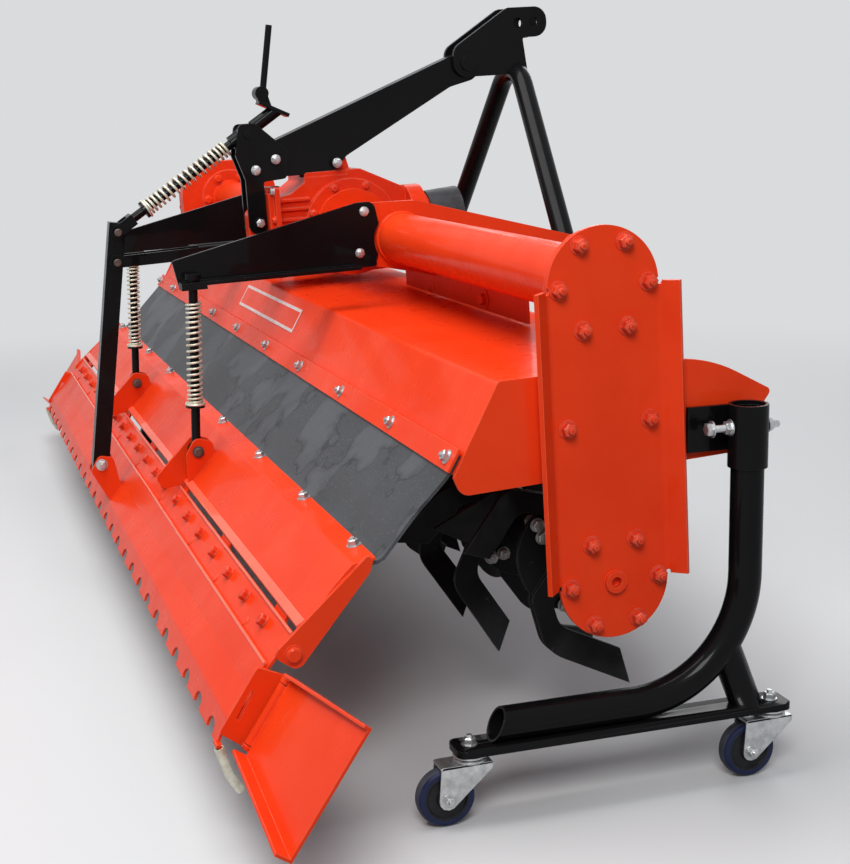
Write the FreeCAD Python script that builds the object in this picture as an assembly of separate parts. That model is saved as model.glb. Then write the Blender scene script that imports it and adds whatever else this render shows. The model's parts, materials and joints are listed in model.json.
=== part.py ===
import FreeCAD, Part
import math
import os
from FreeCAD import Placement, Rotation, Vector

os.makedirs("parts", exist_ok=True)

# Driving dimensions, millimetres. X runs to the right of travel, Y forward, Z up.
# The machine is drawn with the rotor axis at the origin, then set on its casters.

# Main frame
HALF_SPAN = 1550.0          # outer face of each side plate
PLATE_T = 8.0               # side plates and the gear case wall
AXIS_RISE = 503.0           # main tube above the rotor axis
PLATE_R = 99.0              # round ends of the side plate
EDGE_FLANGE = 26.0          # reach of the 45 degree edge flanges, both ways
RELIEF_R = 6.0              # notch between a flange's end and the round end
PLUG_R = 19.0               # plug over the rotor's stub, with a blind hole
CASE_HALF = 165.0           # half width of the side drive case
CASE_DEPTH = 62.0
MAIN_TUBE_R = 57.0
MAIN_TUBE_WALL = 8.0
TUBE_FLANGE_R = 96.0
TUBE_FLANGE_T = 14.0

# Rotor
TINE_TIP_R = 240.0
ROTOR_TUBE_R = 44.5
ROTOR_TUBE_WALL = 9.0
ROTOR_FLANGE_R = 105.0
ROTOR_FLANGE_T = 8.0
ROTOR_FLANGES = 13
ROTOR_FLANGE_EDGE = HALF_SPAN - 185.0
TINES_PER_SIDE = 3          # on each face of each flange
TINE_T = 8.0
TINE_W = 44.0               # width of the leg
TINE_BLADE_W = 58.0         # width of the tip
TINE_SWEEP = 56.0           # how far the tip trails the leg, degrees
TINE_BEND_R = 60.0
TINE_SIDE = 78.0            # sideways reach of a tine
TINE_START = 140.0          # turn of the right flange's first tine, degrees
# Added turn of the blades on a flange's right face and on its left face, degrees; the
# rows serve the flanges from the right, again and again
TINE_TURNS = ((0.0, 0.0), (-40.0, 20.0), (-38.0, 22.0), (-78.0, -18.0))
STUB_R = 30.0
BEARING_R = 82.0
BEARING_T = 38.0
SHAFT_GAP = 0.05            # running gap of a shaft in its bore
FACE_GAP = 0.3              # gap between faces that move on each other

# Hood
HOOD_T = 5.0
HOOD_END_T = 6.0
HOOD_HALF = HALF_SPAN - PLATE_T - HOOD_END_T - 0.3
BATTEN_W = 42.0
BATTEN_T = 5.0
RAIL_Y = 84.0               # front face of the rail that ties the hood to the tube
RAIL_T = 6.0
RAIL_END = 1010.0

# Apron, tailgate and leveller board
APRON_T = 6.0
APRON_GAP = 0.4
PANEL_T = 5.0
GATE_HALF = HALF_SPAN - 2.0
CHEEK_T = 8.0
BOARD_HALF = GATE_HALF - CHEEK_T - 2.0
BOARD_END_X = (GATE_HALF + 2.0, GATE_HALF + 8.0)
HINGE_ROD_R = 7.0
KNUCKLES = 7
TOOTH_PITCH = 118.0
TOOTH_NOTCH_R = 13.0
TOOTH_DEPTH = 20.0
WING_HINGE_OUT = 20.0       # hinge axis beyond the gate's cheek
WING_SPAN = 322.0
WING_SWEEP = 1.8            # degrees forward
WING_OUTER = 219.0
WING_INNER = 148.0
WING_DROP = 29.0            # outer lower corner below the inner one, along the slope
WING_LOW_LIP = 24.0
WING_TOP_LIP = (15.0, 7.0)  # width at the hinge and at the tip

# Spring rods
ROD_R = 10.0
ROD_HOLE_GAP = 3.5
SPRING_R = 17.0
ARM_T = 10.0
ARM_FLANGE = 44.0
LUG_T = 8.0
ROD_HEAD_R = 17.4

# Post, links and adjuster
POST_SIDE = 40.0
LINK_R = 15.0
PIN_R = 8.0
BRACKET_T = 8.0
BRACKET_GAP = 50.0
SCREW_R = 11.0
OPEN_PIN_GAP = 3.0          # play of the pins that close the rear linkage

# Headstock
ARCH_TUBE_R = 25.0
ARCH_BEND_R = 105.0
HITCH_HALF = 412.5          # half the spacing of the lower hitch pins
MAST_T = 12.0
MAST_GAP = 56.0
TOP_PIN_R = 13.0
TOP_PIN_GAP = 0.5
LOWER_PIN_R = 14.25
HITCH_GAP = 48.0
ARM_X = HITCH_HALF + HITCH_GAP / 2 + MAST_T   # spring arms lie on the hitch brackets
ROD_X = ARM_X + 31.5        # spring rods pass through the flanges of the arms
STRUT_W = 50.0
STRUT_H = 72.0
STRUT_WALL = 5.0

# Gearbox
BOX_RIGHT = 26.0            # the casting's right face
BOX_LEFT = 150.0            # and its left one
BOX_RIB = 10.0
DISC_R = 121.0              # side covers
DISC_T = 16.0
CAP_R = 86.0
CAP_T = 16.0
PTO_R = 17.5
PTO_END = 300.0
SHIELD_R = 78.0
SHIELD_T = 4.0

# Stands and casters
STAND_X = HALF_SPAN + 40.0
STAND_Y = 226.0
STAND_TUBE_R = 28.5
STAND_WALL = 4.0
SLEEVE_R = 34.0
SLEEVE_Z = (188.0, 296.0)
BAR_HALF = 325.0
BAR_W = 64.0
BAR_T = 12.0
SWIVEL_Y = 280.0
WHEEL_R = 50.0
WHEEL_T = 30.0
TRAIL = 44.0
FORK_T = 3.0
FORK_W = 42.0
AXLE_R = 5.0
SWIVEL_GAP = 3.0

# Attitude when parked
PARK_PITCH = 2.63           # degrees, front raised
ROTOR_HEIGHT = 370.0

# Places in the side view of the machine, (Y, Z) from the rotor axis
CREASE = (-184.0, 360.0)
HOOD_REAR = (-272.0, 220.0)
HOOD_FRONT = (305.0, 285.0)
GATE_HINGE = (-274.0, 214.0)
GATE_TOP = (-413.0, 105.0)
GATE_STRIP = (-452.0, 99.0)
GATE_FOLD = (-478.0, 75.0)
GATE_LOW = (-549.0, 4.0)
BOARD_PIVOT = (-562.0, -32.0)
BOARD_TOP = (-561.0, -4.0)
BOARD_FOLD = (-605.0, -50.0)
BOARD_LOW = (-690.0, -143.0)
BOARD_EDGE = (-698.0, -163.0)
ROD_PIVOT = (-518.0, 81.0)
ROD_GUIDE = (-490.0, 451.0)
POST_FOOT = (-685.0, -27.0)
POST_LINK = (-595.0, 468.0)
POST_SCREW = (-586.0, 540.0)
LINK_ROOT = (-235.0, 474.0)
SCREW_ROOT = (-250.0, 750.0)
STRUT_PIN = (335.0, 888.0)
MAST_HOLES = ((475.0, 980.0), (518.0, 980.0))
HITCH_PIN = (430.0, 370.0)
ARCH_FOOT = (424.0, 440.0)
ARCH_TOP = (470.0, 862.0)
BOX_BOLTS = ((-236.0, 662.0), (-184.0, 685.0), (-235.0, 532.0))
BOX_LUG = (-28.0, 665.0)


# Building blocks
def box(x, y, z):
    """A block from three (low, high) pairs."""
    return Part.makeBox(x[1] - x[0], y[1] - y[0], z[1] - z[0], Vector(x[0], y[0], z[0]))


def bar(start, end, radius):
    """A round bar between two points."""
    a, b = Vector(*start), Vector(*end)
    return Part.makeCylinder(radius, (b - a).Length, a, b - a)


def pin(place, x0, x1, radius):
    """A round bar along X through a (Y, Z) place."""
    return bar((x0, place[0], place[1]), (x1, place[0], place[1]), radius)


def corner(before, here, after, radius):
    """Start, middle and end of the arc that rounds one corner."""
    p, a, b = Vector(*here), Vector(*before), Vector(*after)
    u, v = (a - p).normalize(), (b - p).normalize()
    half = math.acos(max(-1.0, min(1.0, u.dot(v)))) / 2
    run = radius / math.tan(half)
    middle = (u + v).normalize() * (radius / math.sin(half) - radius)
    return p + u * run, p + middle, p + v * run


def chain(points, radii, closed):
    """Edges along the points, with each corner rounded by its radius."""
    count = len(points)
    stops = []
    for i, point in enumerate(points):
        inner = closed or 0 < i < count - 1
        if inner and radii[i] > 0:
            stops.append(corner(points[i - 1], point, points[(i + 1) % count], radii[i]))
        else:
            stops.append((Vector(*point),))
    edges = []
    for i, stop in enumerate(stops):
        if len(stop) == 3:
            edges.append(Part.Arc(*stop).toShape())
        if i + 1 < count or closed:
            nxt = stops[(i + 1) % count][0]
            if (nxt - stop[-1]).Length > 1e-6:
                edges.append(Part.LineSegment(stop[-1], nxt).toShape())
    return Part.Wire(edges)


def side_plate(outline, x0, x1):
    """A plate square to X from rows of (Y, Z, corner radius)."""
    points = [(x0, y, z) for y, z, _ in outline]
    wire = chain(points, [row[2] for row in outline], True)
    return Part.Face(wire).extrude(Vector(x1 - x0, 0, 0))


def offset_rows(rows, thickness):
    """The rows moved sideways by the thickness, with corners mitred."""
    moved = []
    for i, (y, z, r) in enumerate(rows):
        dirs = []
        if i > 0:
            dirs.append(Vector(y - rows[i - 1][0], z - rows[i - 1][1], 0).normalize())
        if i + 1 < len(rows):
            dirs.append(Vector(rows[i + 1][0] - y, rows[i + 1][1] - z, 0).normalize())
        normals = [Vector(-d.y, d.x, 0) for d in dirs]
        if len(normals) == 1:
            shift, radius = normals[0] * thickness, 0.0
        else:
            mid = (normals[0] + normals[1]).normalize()
            shift = mid * (thickness / mid.dot(normals[0]))
            left = dirs[0].cross(dirs[1]).z > 0
            radius = max(r - thickness, 0.5) if left == (thickness > 0) else r + abs(thickness)
        moved.append((y + shift.x, z + shift.y, radius))
    return moved


def folded(rows, thickness, x0, x1):
    """A folded sheet along X; the rows are one face, the sheet lies to their left."""
    back = offset_rows(rows, thickness)
    ends = [(y, z, 0.0 if i in (0, len(rows) - 1) else r) for i, (y, z, r) in enumerate(rows)]
    return side_plate(ends + back[::-1], x0, x1)


def pipe(points, radii, outer, wall=0.0):
    """A bent tube, or a bent bar where there is no wall."""
    path = chain(points, radii, False)
    start = Vector(*points[0])
    along = Vector(*points[1]) - start

    def swept(radius):
        ring = Part.Wire(Part.makeCircle(radius, start, along))
        return path.makePipeShell([ring], True, False)
    solid = swept(outer)
    return solid.cut(swept(outer - wall)) if wall else solid


def mirrored(shape):
    """The same piece on the other side of the machine."""
    return shape.mirror(Vector(0, 0, 0), Vector(1, 0, 0))


def merged(shapes):
    """Several solids fused into one."""
    return shapes[0].fuse(shapes[1:]).removeSplitter()


def toward(start, end, distance):
    """The point at a distance from one (Y, Z) place toward another."""
    span = math.hypot(end[0] - start[0], end[1] - start[1])
    return (start[0] + (end[0] - start[0]) * distance / span,
            start[1] + (end[1] - start[1]) * distance / span)


# Side plates
def side_plate_right():
    """The flanged plate on the right, with round ends and a plug over the rotor's stub."""
    low, high = 0.0, AXIS_RISE
    inner = HALF_SPAN - PLATE_T
    ends = [pin((0.0, z), inner, HALF_SPAN, PLATE_R) for z in (low, high)]
    reach = PLATE_R + EDGE_FLANGE
    web = [(HALF_SPAN + EDGE_FLANGE, -reach, 0.0), (HALF_SPAN, -PLATE_R, 14.0),
           (HALF_SPAN, PLATE_R, 14.0), (HALF_SPAN + EDGE_FLANGE, reach, 0.0)]
    back = offset_rows([(x, y, r) for x, y, r in web], PLATE_T)
    rows = web + back[::-1]
    wire = chain([(x, y, low) for x, y, _ in rows], [r for _, _, r in rows], True)
    sheet = Part.Face(wire).extrude(Vector(0, 0, high - low))
    middle = box((inner, HALF_SPAN), (-PLATE_R, PLATE_R), (low, high))
    plug = pin((0.0, 0.0), HALF_SPAN, HALF_SPAN + 9.0, PLUG_R)
    plate = merged(ends + [sheet, middle, plug])
    cuts = [pin((0.0, 0.0), HALF_SPAN - 4.0, HALF_SPAN + 10.0, PLUG_R / 2)]
    for y in (-PLATE_R - 2.0, PLATE_R + 2.0):
        cuts += [pin((y, z), inner - 1, HALF_SPAN + 4.0, RELIEF_R) for z in (low, high)]
    return plate.cut(cuts)


def gear_case_left():
    """The closed side drive case, wider and deeper than the plate opposite it."""
    inner = -HALF_SPAN + PLATE_T
    outer = -HALF_SPAN - CASE_DEPTH
    low, high = -PLATE_R - 34.0, AXIS_RISE + 128.0
    outline = [(-CASE_HALF, low, 118.0), (-CASE_HALF, high, 118.0),
               (CASE_HALF, high, 118.0), (CASE_HALF, low, 118.0)]
    case = side_plate(outline, inner, outer)
    cover = pin((0.0, AXIS_RISE), outer, outer - 14.0, CAP_R)
    hub = pin((0.0, 0.0), outer, outer - 14.0, BEARING_R)
    seat = pin((0.0, AXIS_RISE), inner, inner + TUBE_FLANGE_T, TUBE_FLANGE_R)
    case = merged([case, cover, hub, seat])
    return case.cut(pin((0.0, 0.0), inner + 1, inner - 40.0, STUB_R + 8))


def bearing(side):
    """The bearing housing that carries the rotor stub on one side plate."""
    inner = HALF_SPAN - PLATE_T
    ring = pin((0.0, 0.0), inner - BEARING_T, inner, BEARING_R)
    ring = ring.cut(pin((0.0, 0.0), inner - BEARING_T - 1, inner + 1, STUB_R + SHAFT_GAP))
    return ring if side > 0 else mirrored(ring)


# Hood
HOOD_ROWS = [(HOOD_REAR[0], HOOD_REAR[1], 0.0), (CREASE[0], CREASE[1], 10.0),
             (186.0, 360.0, 250.0), (HOOD_FRONT[0], HOOD_FRONT[1], 0.0)]


def hood():
    """The folded sheet over the rotor, from the apron batten to the front edge."""
    rows = HOOD_ROWS[::-1]
    return folded(rows, HOOD_T, -HOOD_HALF, HOOD_HALF)


def hood_end(side):
    """The end plate of the hood, behind the side plate."""
    edge = HOOD_T + 1.0
    outline = [(-262.0, 184.0, 22.0), (HOOD_REAR[0] - 2.0, 216.0, 8.0),
               (CREASE[0] - 3.0, CREASE[1] + edge, 8.0), (186.0, CREASE[1] + edge, 250.0),
               (HOOD_FRONT[0] + 6.0, HOOD_FRONT[1] + 8.0, 8.0), (232.0, 192.0, 6.0)]
    x1 = HALF_SPAN - PLATE_T
    plate = side_plate(outline, x1 - HOOD_END_T, x1)
    plate = plate.cut(pin((0.0, 0.0), x1 - 20, x1 + 20, BEARING_R + 4))
    return plate if side > 0 else mirrored(plate)


def hood_batten():
    """The flat bar that clamps the apron on the hood's rear edge."""
    a, b = HOOD_REAR, CREASE
    top = toward(a, b, BATTEN_W)
    normal = toward((0, 0), (-(b[1] - a[1]), b[0] - a[0]), 1.0)
    lift = APRON_T + 2 * APRON_GAP
    rows = [(p[0] + normal[0] * lift, p[1] + normal[1] * lift, 0.0) for p in (a, top)]
    return folded(rows, BATTEN_T, -HOOD_HALF, HOOD_HALF)


def hood_rail(side):
    """The angle that stands on the hood and is welded along the main tube."""
    top = AXIS_RISE - 37.0
    rows = [(RAIL_Y, CREASE[1] + HOOD_T, 0.0), (RAIL_Y, top, 8.0), (10.0, top, 0.0)]
    rail = folded(rows, RAIL_T, BOX_RIGHT + 190.0, RAIL_END)
    rail = rail.cut(pin((0.0, AXIS_RISE), 0.0, HALF_SPAN, MAIN_TUBE_R))
    rail = rail.cut(box((0, HALF_SPAN), (-60, 30), (0, AXIS_RISE)))
    rail = rail.cut(side_plate(BRACKET_ROWS, ARM_X - MAST_T, ARM_X))
    return rail if side > 0 else mirrored(rail)


# Main tubes and gearbox
def main_tube(side):
    """A tube from the gearbox to one side plate, with its end flanges."""
    x0 = BOX_RIGHT + DISC_T if side > 0 else BOX_LEFT + DISC_T
    x1 = HALF_SPAN - PLATE_T - (0.0 if side > 0 else TUBE_FLANGE_T)
    place = (0.0, AXIS_RISE)
    parts = [pin(place, x0, x1, MAIN_TUBE_R), pin(place, x0, x0 + TUBE_FLANGE_T, TUBE_FLANGE_R)]
    if side > 0:
        parts.append(pin(place, x1 - TUBE_FLANGE_T, x1, TUBE_FLANGE_R))
    tube = merged(parts).cut(pin(place, x0 - 1, x1 + 1, MAIN_TUBE_R - MAIN_TUBE_WALL))
    return tube if side > 0 else mirrored(tube)


CASTING_ROWS = [(-190.0, 412.0, 20.0), (-190.0, 588.0, 8.0), (-150.0, 596.0, 20.0),
                (-112.0, 622.0, 8.0), (-112.0, 646.0, 8.0), (34.0, 646.0, 14.0),
                (150.0, 590.0, 30.0), (186.0, 548.0, 30.0), (186.0, 440.0, 40.0),
                (90.0, 388.0, 60.0), (-90.0, 388.0, 60.0)]


def gearbox():
    """The central casting: ribbed case, side covers, rear cover, input nose and lugs."""
    place = (0.0, AXIS_RISE)
    case = side_plate(CASTING_ROWS, -BOX_LEFT, BOX_RIGHT)
    discs = [pin(place, BOX_RIGHT, BOX_RIGHT + DISC_T, DISC_R),
             pin(place, -BOX_LEFT - DISC_T, -BOX_LEFT, DISC_R)]
    rear = box((-118.0, 62.0), (-215.0, -190.0), (AXIS_RISE - 98.0, AXIS_RISE + 100.0))
    rim = box((-134.0, 78.0), (-202.0, -190.0), (AXIS_RISE - 108.0, AXIS_RISE + 112.0))
    nose = bar((0, 150.0, AXIS_RISE), (0, 190.0, AXIS_RISE), 92.0)
    seal = bar((0, 190.0, AXIS_RISE), (0, 206.0, AXIS_RISE), 66.0)
    ribs = [box((BOX_RIGHT, BOX_RIGHT + BOX_RIB), (-190.0, -104.0), (z, z + 7.0))
            for z in (578.0, 556.0, 530.0, 502.0, 470.0)]
    ribs += [box((x, x + 8.0), (-106.0, -58.0), (640.0, 656.0)) for x in (-120.0, -80.0)]
    lug_w = STRUT_W / 2 - STRUT_WALL - 1.0
    lugs = [
        side_plate([(-70.0, 560.0, 0), (-58.0, 686.0, 18.0), (-2.0, 686.0, 18.0),
                    (30.0, 560.0, 0)], -lug_w, lug_w),
        side_plate([(-262.0, 446.0, 24.0), (-262.0, 560.0, 20.0), (-190.0, 600.0, 0),
                    (-190.0, 446.0, 0)], -lug_w, lug_w),
    ]
    seat = box((-STRUT_W / 2, STRUT_W / 2), (-160.0, 0.0), (634.0, 700.0))
    case = merged([case, rear, rim, nose, seal] + discs + ribs).cut(seat)
    body = merged([case] + lugs)
    bore = bar((0, 100.0, AXIS_RISE), (0, 210.0, AXIS_RISE), PTO_R + 6.5 + SHAFT_GAP)
    holes = [pin(BOX_LUG, -60, 60, PIN_R + SHAFT_GAP), pin(BOX_BOLTS[2], -60, 60, PIN_R + SHAFT_GAP),
             pin(LINK_ROOT, -60, 60, PIN_R + SHAFT_GAP)]
    return body.cut([bore] + holes)


def pto_shaft():
    """The splined input shaft."""
    stub = bar((0, 110.0, AXIS_RISE), (0, 215.0, AXIS_RISE), PTO_R + 6.5)
    return merged([stub, bar((0, 215.0, AXIS_RISE), (0, PTO_END, AXIS_RISE), PTO_R)])


def pto_shield():
    """The open cone round the input shaft."""
    y0, y1 = 206.0, PTO_END - 8.0
    start, along = Vector(0, y0, AXIS_RISE), Vector(0, 1, 0)
    outer = Part.makeCone(SHIELD_R - 6, SHIELD_R, y1 - y0, start, along)
    inner = Part.makeCone(SHIELD_R - 6 - SHIELD_T, SHIELD_R - SHIELD_T, y1 - y0, start, along)
    ring = bar((0, y0, AXIS_RISE), (0, y0 + SHIELD_T, AXIS_RISE), SHIELD_R - 6)
    ring = ring.cut(bar((0, y0 - 1, AXIS_RISE), (0, y0 + 10, AXIS_RISE), PTO_R + 14))
    return merged([outer.cut(inner), ring])


# Headstock
BRACKET_ROWS = [(-112.0, 456.0, 12.0), (-112.0, 590.0, 14.0), (40.0, 586.0, 30.0),
                (462.0, 462.0, 12.0), (470.0, 330.0, 30.0), (392.0, 322.0, 40.0),
                (260.0, 384.0, 30.0), (130.0, 392.0, 16.0), (40.0, 420.0, 30.0)]


def hitch_bracket(side):
    """The plate from the main tube forward to the arch foot and lower hitch pin."""
    near, far = ARM_X - MAST_T, ARM_X
    plate = side_plate(BRACKET_ROWS, near, far)
    holes = [pin(place, near - 1, far + 1, radius)
             for place, radius in (((0.0, AXIS_RISE), MAIN_TUBE_R), (HITCH_PIN, LOWER_PIN_R))]
    plate = plate.cut(holes)
    return plate if side > 0 else mirrored(plate)


def hitch_cheeks():
    """The inner cheeks of the two lower hitch forks."""
    near = HITCH_HALF - HITCH_GAP / 2
    rows = [(400.0, 462.0, 10.0), (462.0, 462.0, 10.0), (470.0, 330.0, 30.0),
            (388.0, 330.0, 30.0)]
    cheek = side_plate(rows, near - MAST_T, near)
    hole = pin(HITCH_PIN, near - MAST_T - 1, near + 1, LOWER_PIN_R)
    cheek = cheek.cut([hole, hitch_arch()])
    return Part.makeCompound([cheek, mirrored(cheek)])


def hitch_seats():
    """The blocks between bracket and cheek on which the arch's feet are welded."""
    near, far = HITCH_HALF - HITCH_GAP / 2, HITCH_HALF + HITCH_GAP / 2
    seat = box((near, far), (400.0, 452.0), (426.0, 441.0)).cut(hitch_arch())
    return Part.makeCompound([seat, mirrored(seat)])


def hitch_beam():
    """The cross beam below the main tube that ties the brackets together."""
    inner = HITCH_HALF + HITCH_GAP / 2
    return box((-inner, inner), (206.0, 262.0), (388.0, 410.0))


def hitch_arch():
    """The bent tube that carries the top link plates over the hitch brackets."""
    feet = HITCH_HALF
    y0, z0 = ARCH_FOOT
    rise = ARCH_TOP[1] - z0
    slope = (ARCH_TOP[0] - y0) / rise
    lean = math.atan2(feet, rise)
    peak = ARCH_TOP[1] + ARCH_BEND_R * (1 / math.sin(lean) - 1)
    for _ in range(6):
        lean = math.atan2(feet, peak - z0)
        peak = ARCH_TOP[1] + ARCH_BEND_R * (1 / math.sin(lean) - 1)
    top_y = y0 + slope * (peak - z0)
    points = [(feet, y0, z0), (0.0, top_y, peak), (-feet, y0, z0)]
    return pipe(points, [0, ARCH_BEND_R, 0], ARCH_TUBE_R)


def mast():
    """The pair of top link plates with a spacer behind the arch."""
    holes = list(MAST_HOLES)
    tail, nose = STRUT_PIN, holes[1]
    outline = [(tail[0] - 38.0, tail[1] - 34.0, 34.0), (tail[0] - 38.0, tail[1] + 38.0, 34.0),
               (holes[0][0] - 28.0, nose[1] + 39.0, 14.0), (nose[0] + 36.0, nose[1] + 39.0, 34.0),
               (nose[0] + 36.0, nose[1] - 36.0, 34.0), (486.0, nose[1] - 36.0, 6.0),
               (497.0, 848.0, 4.0), (470.0, 854.0, 4.0)]
    half = MAST_GAP / 2
    plates = [side_plate(outline, half, half + MAST_T), side_plate(outline, -half - MAST_T, -half)]
    plates.append(box((-half, half), (430.0, 486.0), (860.0, 905.0)))
    shape = merged(plates)
    cuts = [pin(hole, -60, 60, TOP_PIN_R + TOP_PIN_GAP) for hole in holes]
    cuts.append(pin(STRUT_PIN, -60, 60, PIN_R + 4 + SHAFT_GAP))
    return shape.cut(cuts).cut(hitch_arch())


def strut():
    """The tapered channel that braces the mast back to the gearbox, open below."""
    outline = [(-258.0, 641.0, 10.0), (-258.0, 700.0, 14.0), (300.0, 910.0, 30.0),
               (STRUT_PIN[0] + 30.0, 925.0, 30.0), (STRUT_PIN[0] + 30.0, 850.0, 30.0),
               (288.0, 832.0, 40.0), (2.0, 680.0, 60.0), (-40.0, 641.0, 20.0)]
    half = STRUT_W / 2 - FACE_GAP
    webs = [side_plate(outline, x, x + STRUT_WALL) for x in (-half, half - STRUT_WALL)]
    top = folded([(300.0, 910.0, 0.0), (-258.0, 700.0, 0.0)], STRUT_WALL, -half, half)
    end = folded([(-258.0, 700.0, 0.0), (-258.0, 641.0, 0.0)], STRUT_WALL, -half, half)
    shape = merged(webs + [top, end])
    holes = [pin(place, -60, 60, PIN_R + SHAFT_GAP) for place in BOX_BOLTS[:2] + (BOX_LUG,)]
    return shape.cut(holes + [pin(STRUT_PIN, -60, 60, PIN_R + 4 + SHAFT_GAP)])


def strut_pins():
    """The round-headed pin at the mast and the bolt through the gearbox lug."""
    half = MAST_GAP / 2 + MAST_T
    body = pin(STRUT_PIN, -half - 8, half, PIN_R + 4)
    front = merged([body, pin(STRUT_PIN, half, half + 6, PIN_R + 12)])
    side = STRUT_W / 2
    rear = merged([pin(BOX_LUG, -side, side, PIN_R), pin(BOX_LUG, side, side + 8, PIN_R + 6),
                   pin(BOX_LUG, -side - 8, -side, PIN_R + 6)])
    return Part.makeCompound([front, rear])


def rear_bracket():
    """The plates over the gearbox that carry the strut and the adjuster, with their bolts."""
    outline = [(-262.0, 505.0, 22.0), (-262.0, 640.0, 30.0), (-282.0, 700.0, 20.0),
               (-268.0, 775.0, 14.0), (-226.0, 775.0, 14.0), (-152.0, 706.0, 16.0),
               (-158.0, 636.0, 10.0), (-217.0, 632.0, 6.0), (-217.0, 505.0, 16.0)]
    x0 = BRACKET_GAP / 2
    x1 = x0 + BRACKET_T
    parts = [side_plate(outline, x0, x1), side_plate(outline, -x1, -x0)]
    for place in BOX_BOLTS:
        parts.append(pin(place, -x1, x1, PIN_R - 0.5))
        parts += [pin(place, x1, x1 + 8, PIN_R + 5), pin(place, -x1 - 8, -x1, PIN_R + 5)]
    return merged(parts).cut(pin(SCREW_ROOT, -60, 60, PIN_R + SHAFT_GAP))


# Spring arms
def spring_arm(side):
    """The tapered arm with a folded lower flange that guides the spring rod."""
    tip = ROD_GUIDE[0] - 38.0
    outline = [(-64.0, 446.0, 6.0), (-64.0, 460.0, 0.0), (-46.0, AXIS_RISE, 0.0),
               (-62.0, 592.0, 18.0), (-100.0, 592.0, 18.0), (tip, 500.0, 6.0),
               (tip + 10.0, 446.0, 4.0)]
    plate = side_plate(outline, ARM_X, ARM_X + ARM_T)
    shelf = box((ARM_X, ARM_X + ARM_T + ARM_FLANGE), (tip + 10.0, -112.0), (446.0, 454.0))
    pad = box((ROD_X - 24.0, ROD_X + 22.0), (tip + 10.0, tip + 66.0), (438.0, 446.0))
    arm = merged([plate, shelf, pad])
    foot, lean = rod_frame()
    start = Vector(ROD_X, ROD_GUIDE[0], ROD_GUIDE[1]) - lean * 60
    hole = Part.makeCylinder(ROD_R + ROD_HOLE_GAP, 100, start, lean)
    arm = arm.cut([hole, pin((0.0, AXIS_RISE), ARM_X - 1, ARM_X + 20, MAIN_TUBE_R + 9.0)])
    return arm if side > 0 else mirrored(arm)


# Rotor
def tine(hand):
    """One curved blade bolted on the face of a flange, its tip trailing and turned sideways."""
    root, w = 52.0, TINE_W / 2
    rows = [(0.0, 60.0, 0.0), (0.0, -70.0, TINE_BEND_R), (TINE_SIDE, -205.0, 0.0)]
    section = rows + offset_rows(rows, TINE_T)[::-1]
    wire = chain([(x, y, root) for x, y, _ in section], [rad for _, _, rad in section], True)
    blade = Part.Face(wire).extrude(Vector(0, 0, TINE_TIP_R))
    sweep, inner = math.radians(TINE_SWEEP), TINE_TIP_R - TINE_BLADE_W
    tip = (-TINE_TIP_R * math.sin(sweep), TINE_TIP_R * math.cos(sweep))
    heel = (-inner * math.sin(sweep + 0.06), inner * math.cos(sweep + 0.06))
    sickle = [(w, root, 0.0), (w, 108.0, 30.0), (-66.0, 174.0, 60.0), tip + (0.0,),
              heel + (0.0,), (-60.0, 122.0, 40.0), (-w, 95.0, 20.0), (-w, root, 0.0)]
    shape = blade.common(side_plate(sickle, -10.0, TINE_SIDE + 20.0))
    shape.translate(Vector(ROTOR_FLANGE_T / 2, 0, 0))
    if hand < 0:
        shape = shape.mirror(Vector(0, 0, 0), Vector(1, 0, 0))
    return shape


def flange_places():
    step = 2 * ROTOR_FLANGE_EDGE / (ROTOR_FLANGES - 1)
    return [-ROTOR_FLANGE_EDGE + i * step for i in range(ROTOR_FLANGES)]


def rotor():
    """The rotor tube with its stub ends, flanges and blades."""
    end = HALF_SPAN - PLATE_T - BEARING_T - 6.0
    stub_end = HALF_SPAN - PLATE_T - 1.0
    half = ROTOR_FLANGE_T / 2
    parts = [pin((0.0, 0.0), end - 5, stub_end, STUB_R), pin((0.0, 0.0), -stub_end, 5 - end, STUB_R)]
    hands = {1: tine(1), -1: tine(-1)}
    for i, x in enumerate(flange_places()):
        parts.append(pin((0.0, 0.0), x - half, x + half, ROTOR_FLANGE_R))
        added = TINE_TURNS[(ROTOR_FLANGES - 1 - i) % len(TINE_TURNS)]
        for hand, more in ((1, added[0]), (-1, added[1])):
            for k in range(TINES_PER_SIDE):
                blade = hands[hand].copy()
                turn = TINE_START + more + k * 360.0 / TINES_PER_SIDE
                blade.rotate(Vector(0, 0, 0), Vector(1, 0, 0), turn)
                blade.translate(Vector(x, 0, 0))
                parts.append(blade)
    return pin((0.0, 0.0), -end, end, ROTOR_TUBE_R).fuse(parts)


# Tailgate and leveller board
def knuckle_places():
    step = 2 * (BOARD_HALF - 120.0) / (KNUCKLES - 1)
    return [-BOARD_HALF + 120.0 + i * step for i in range(KNUCKLES)]


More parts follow.
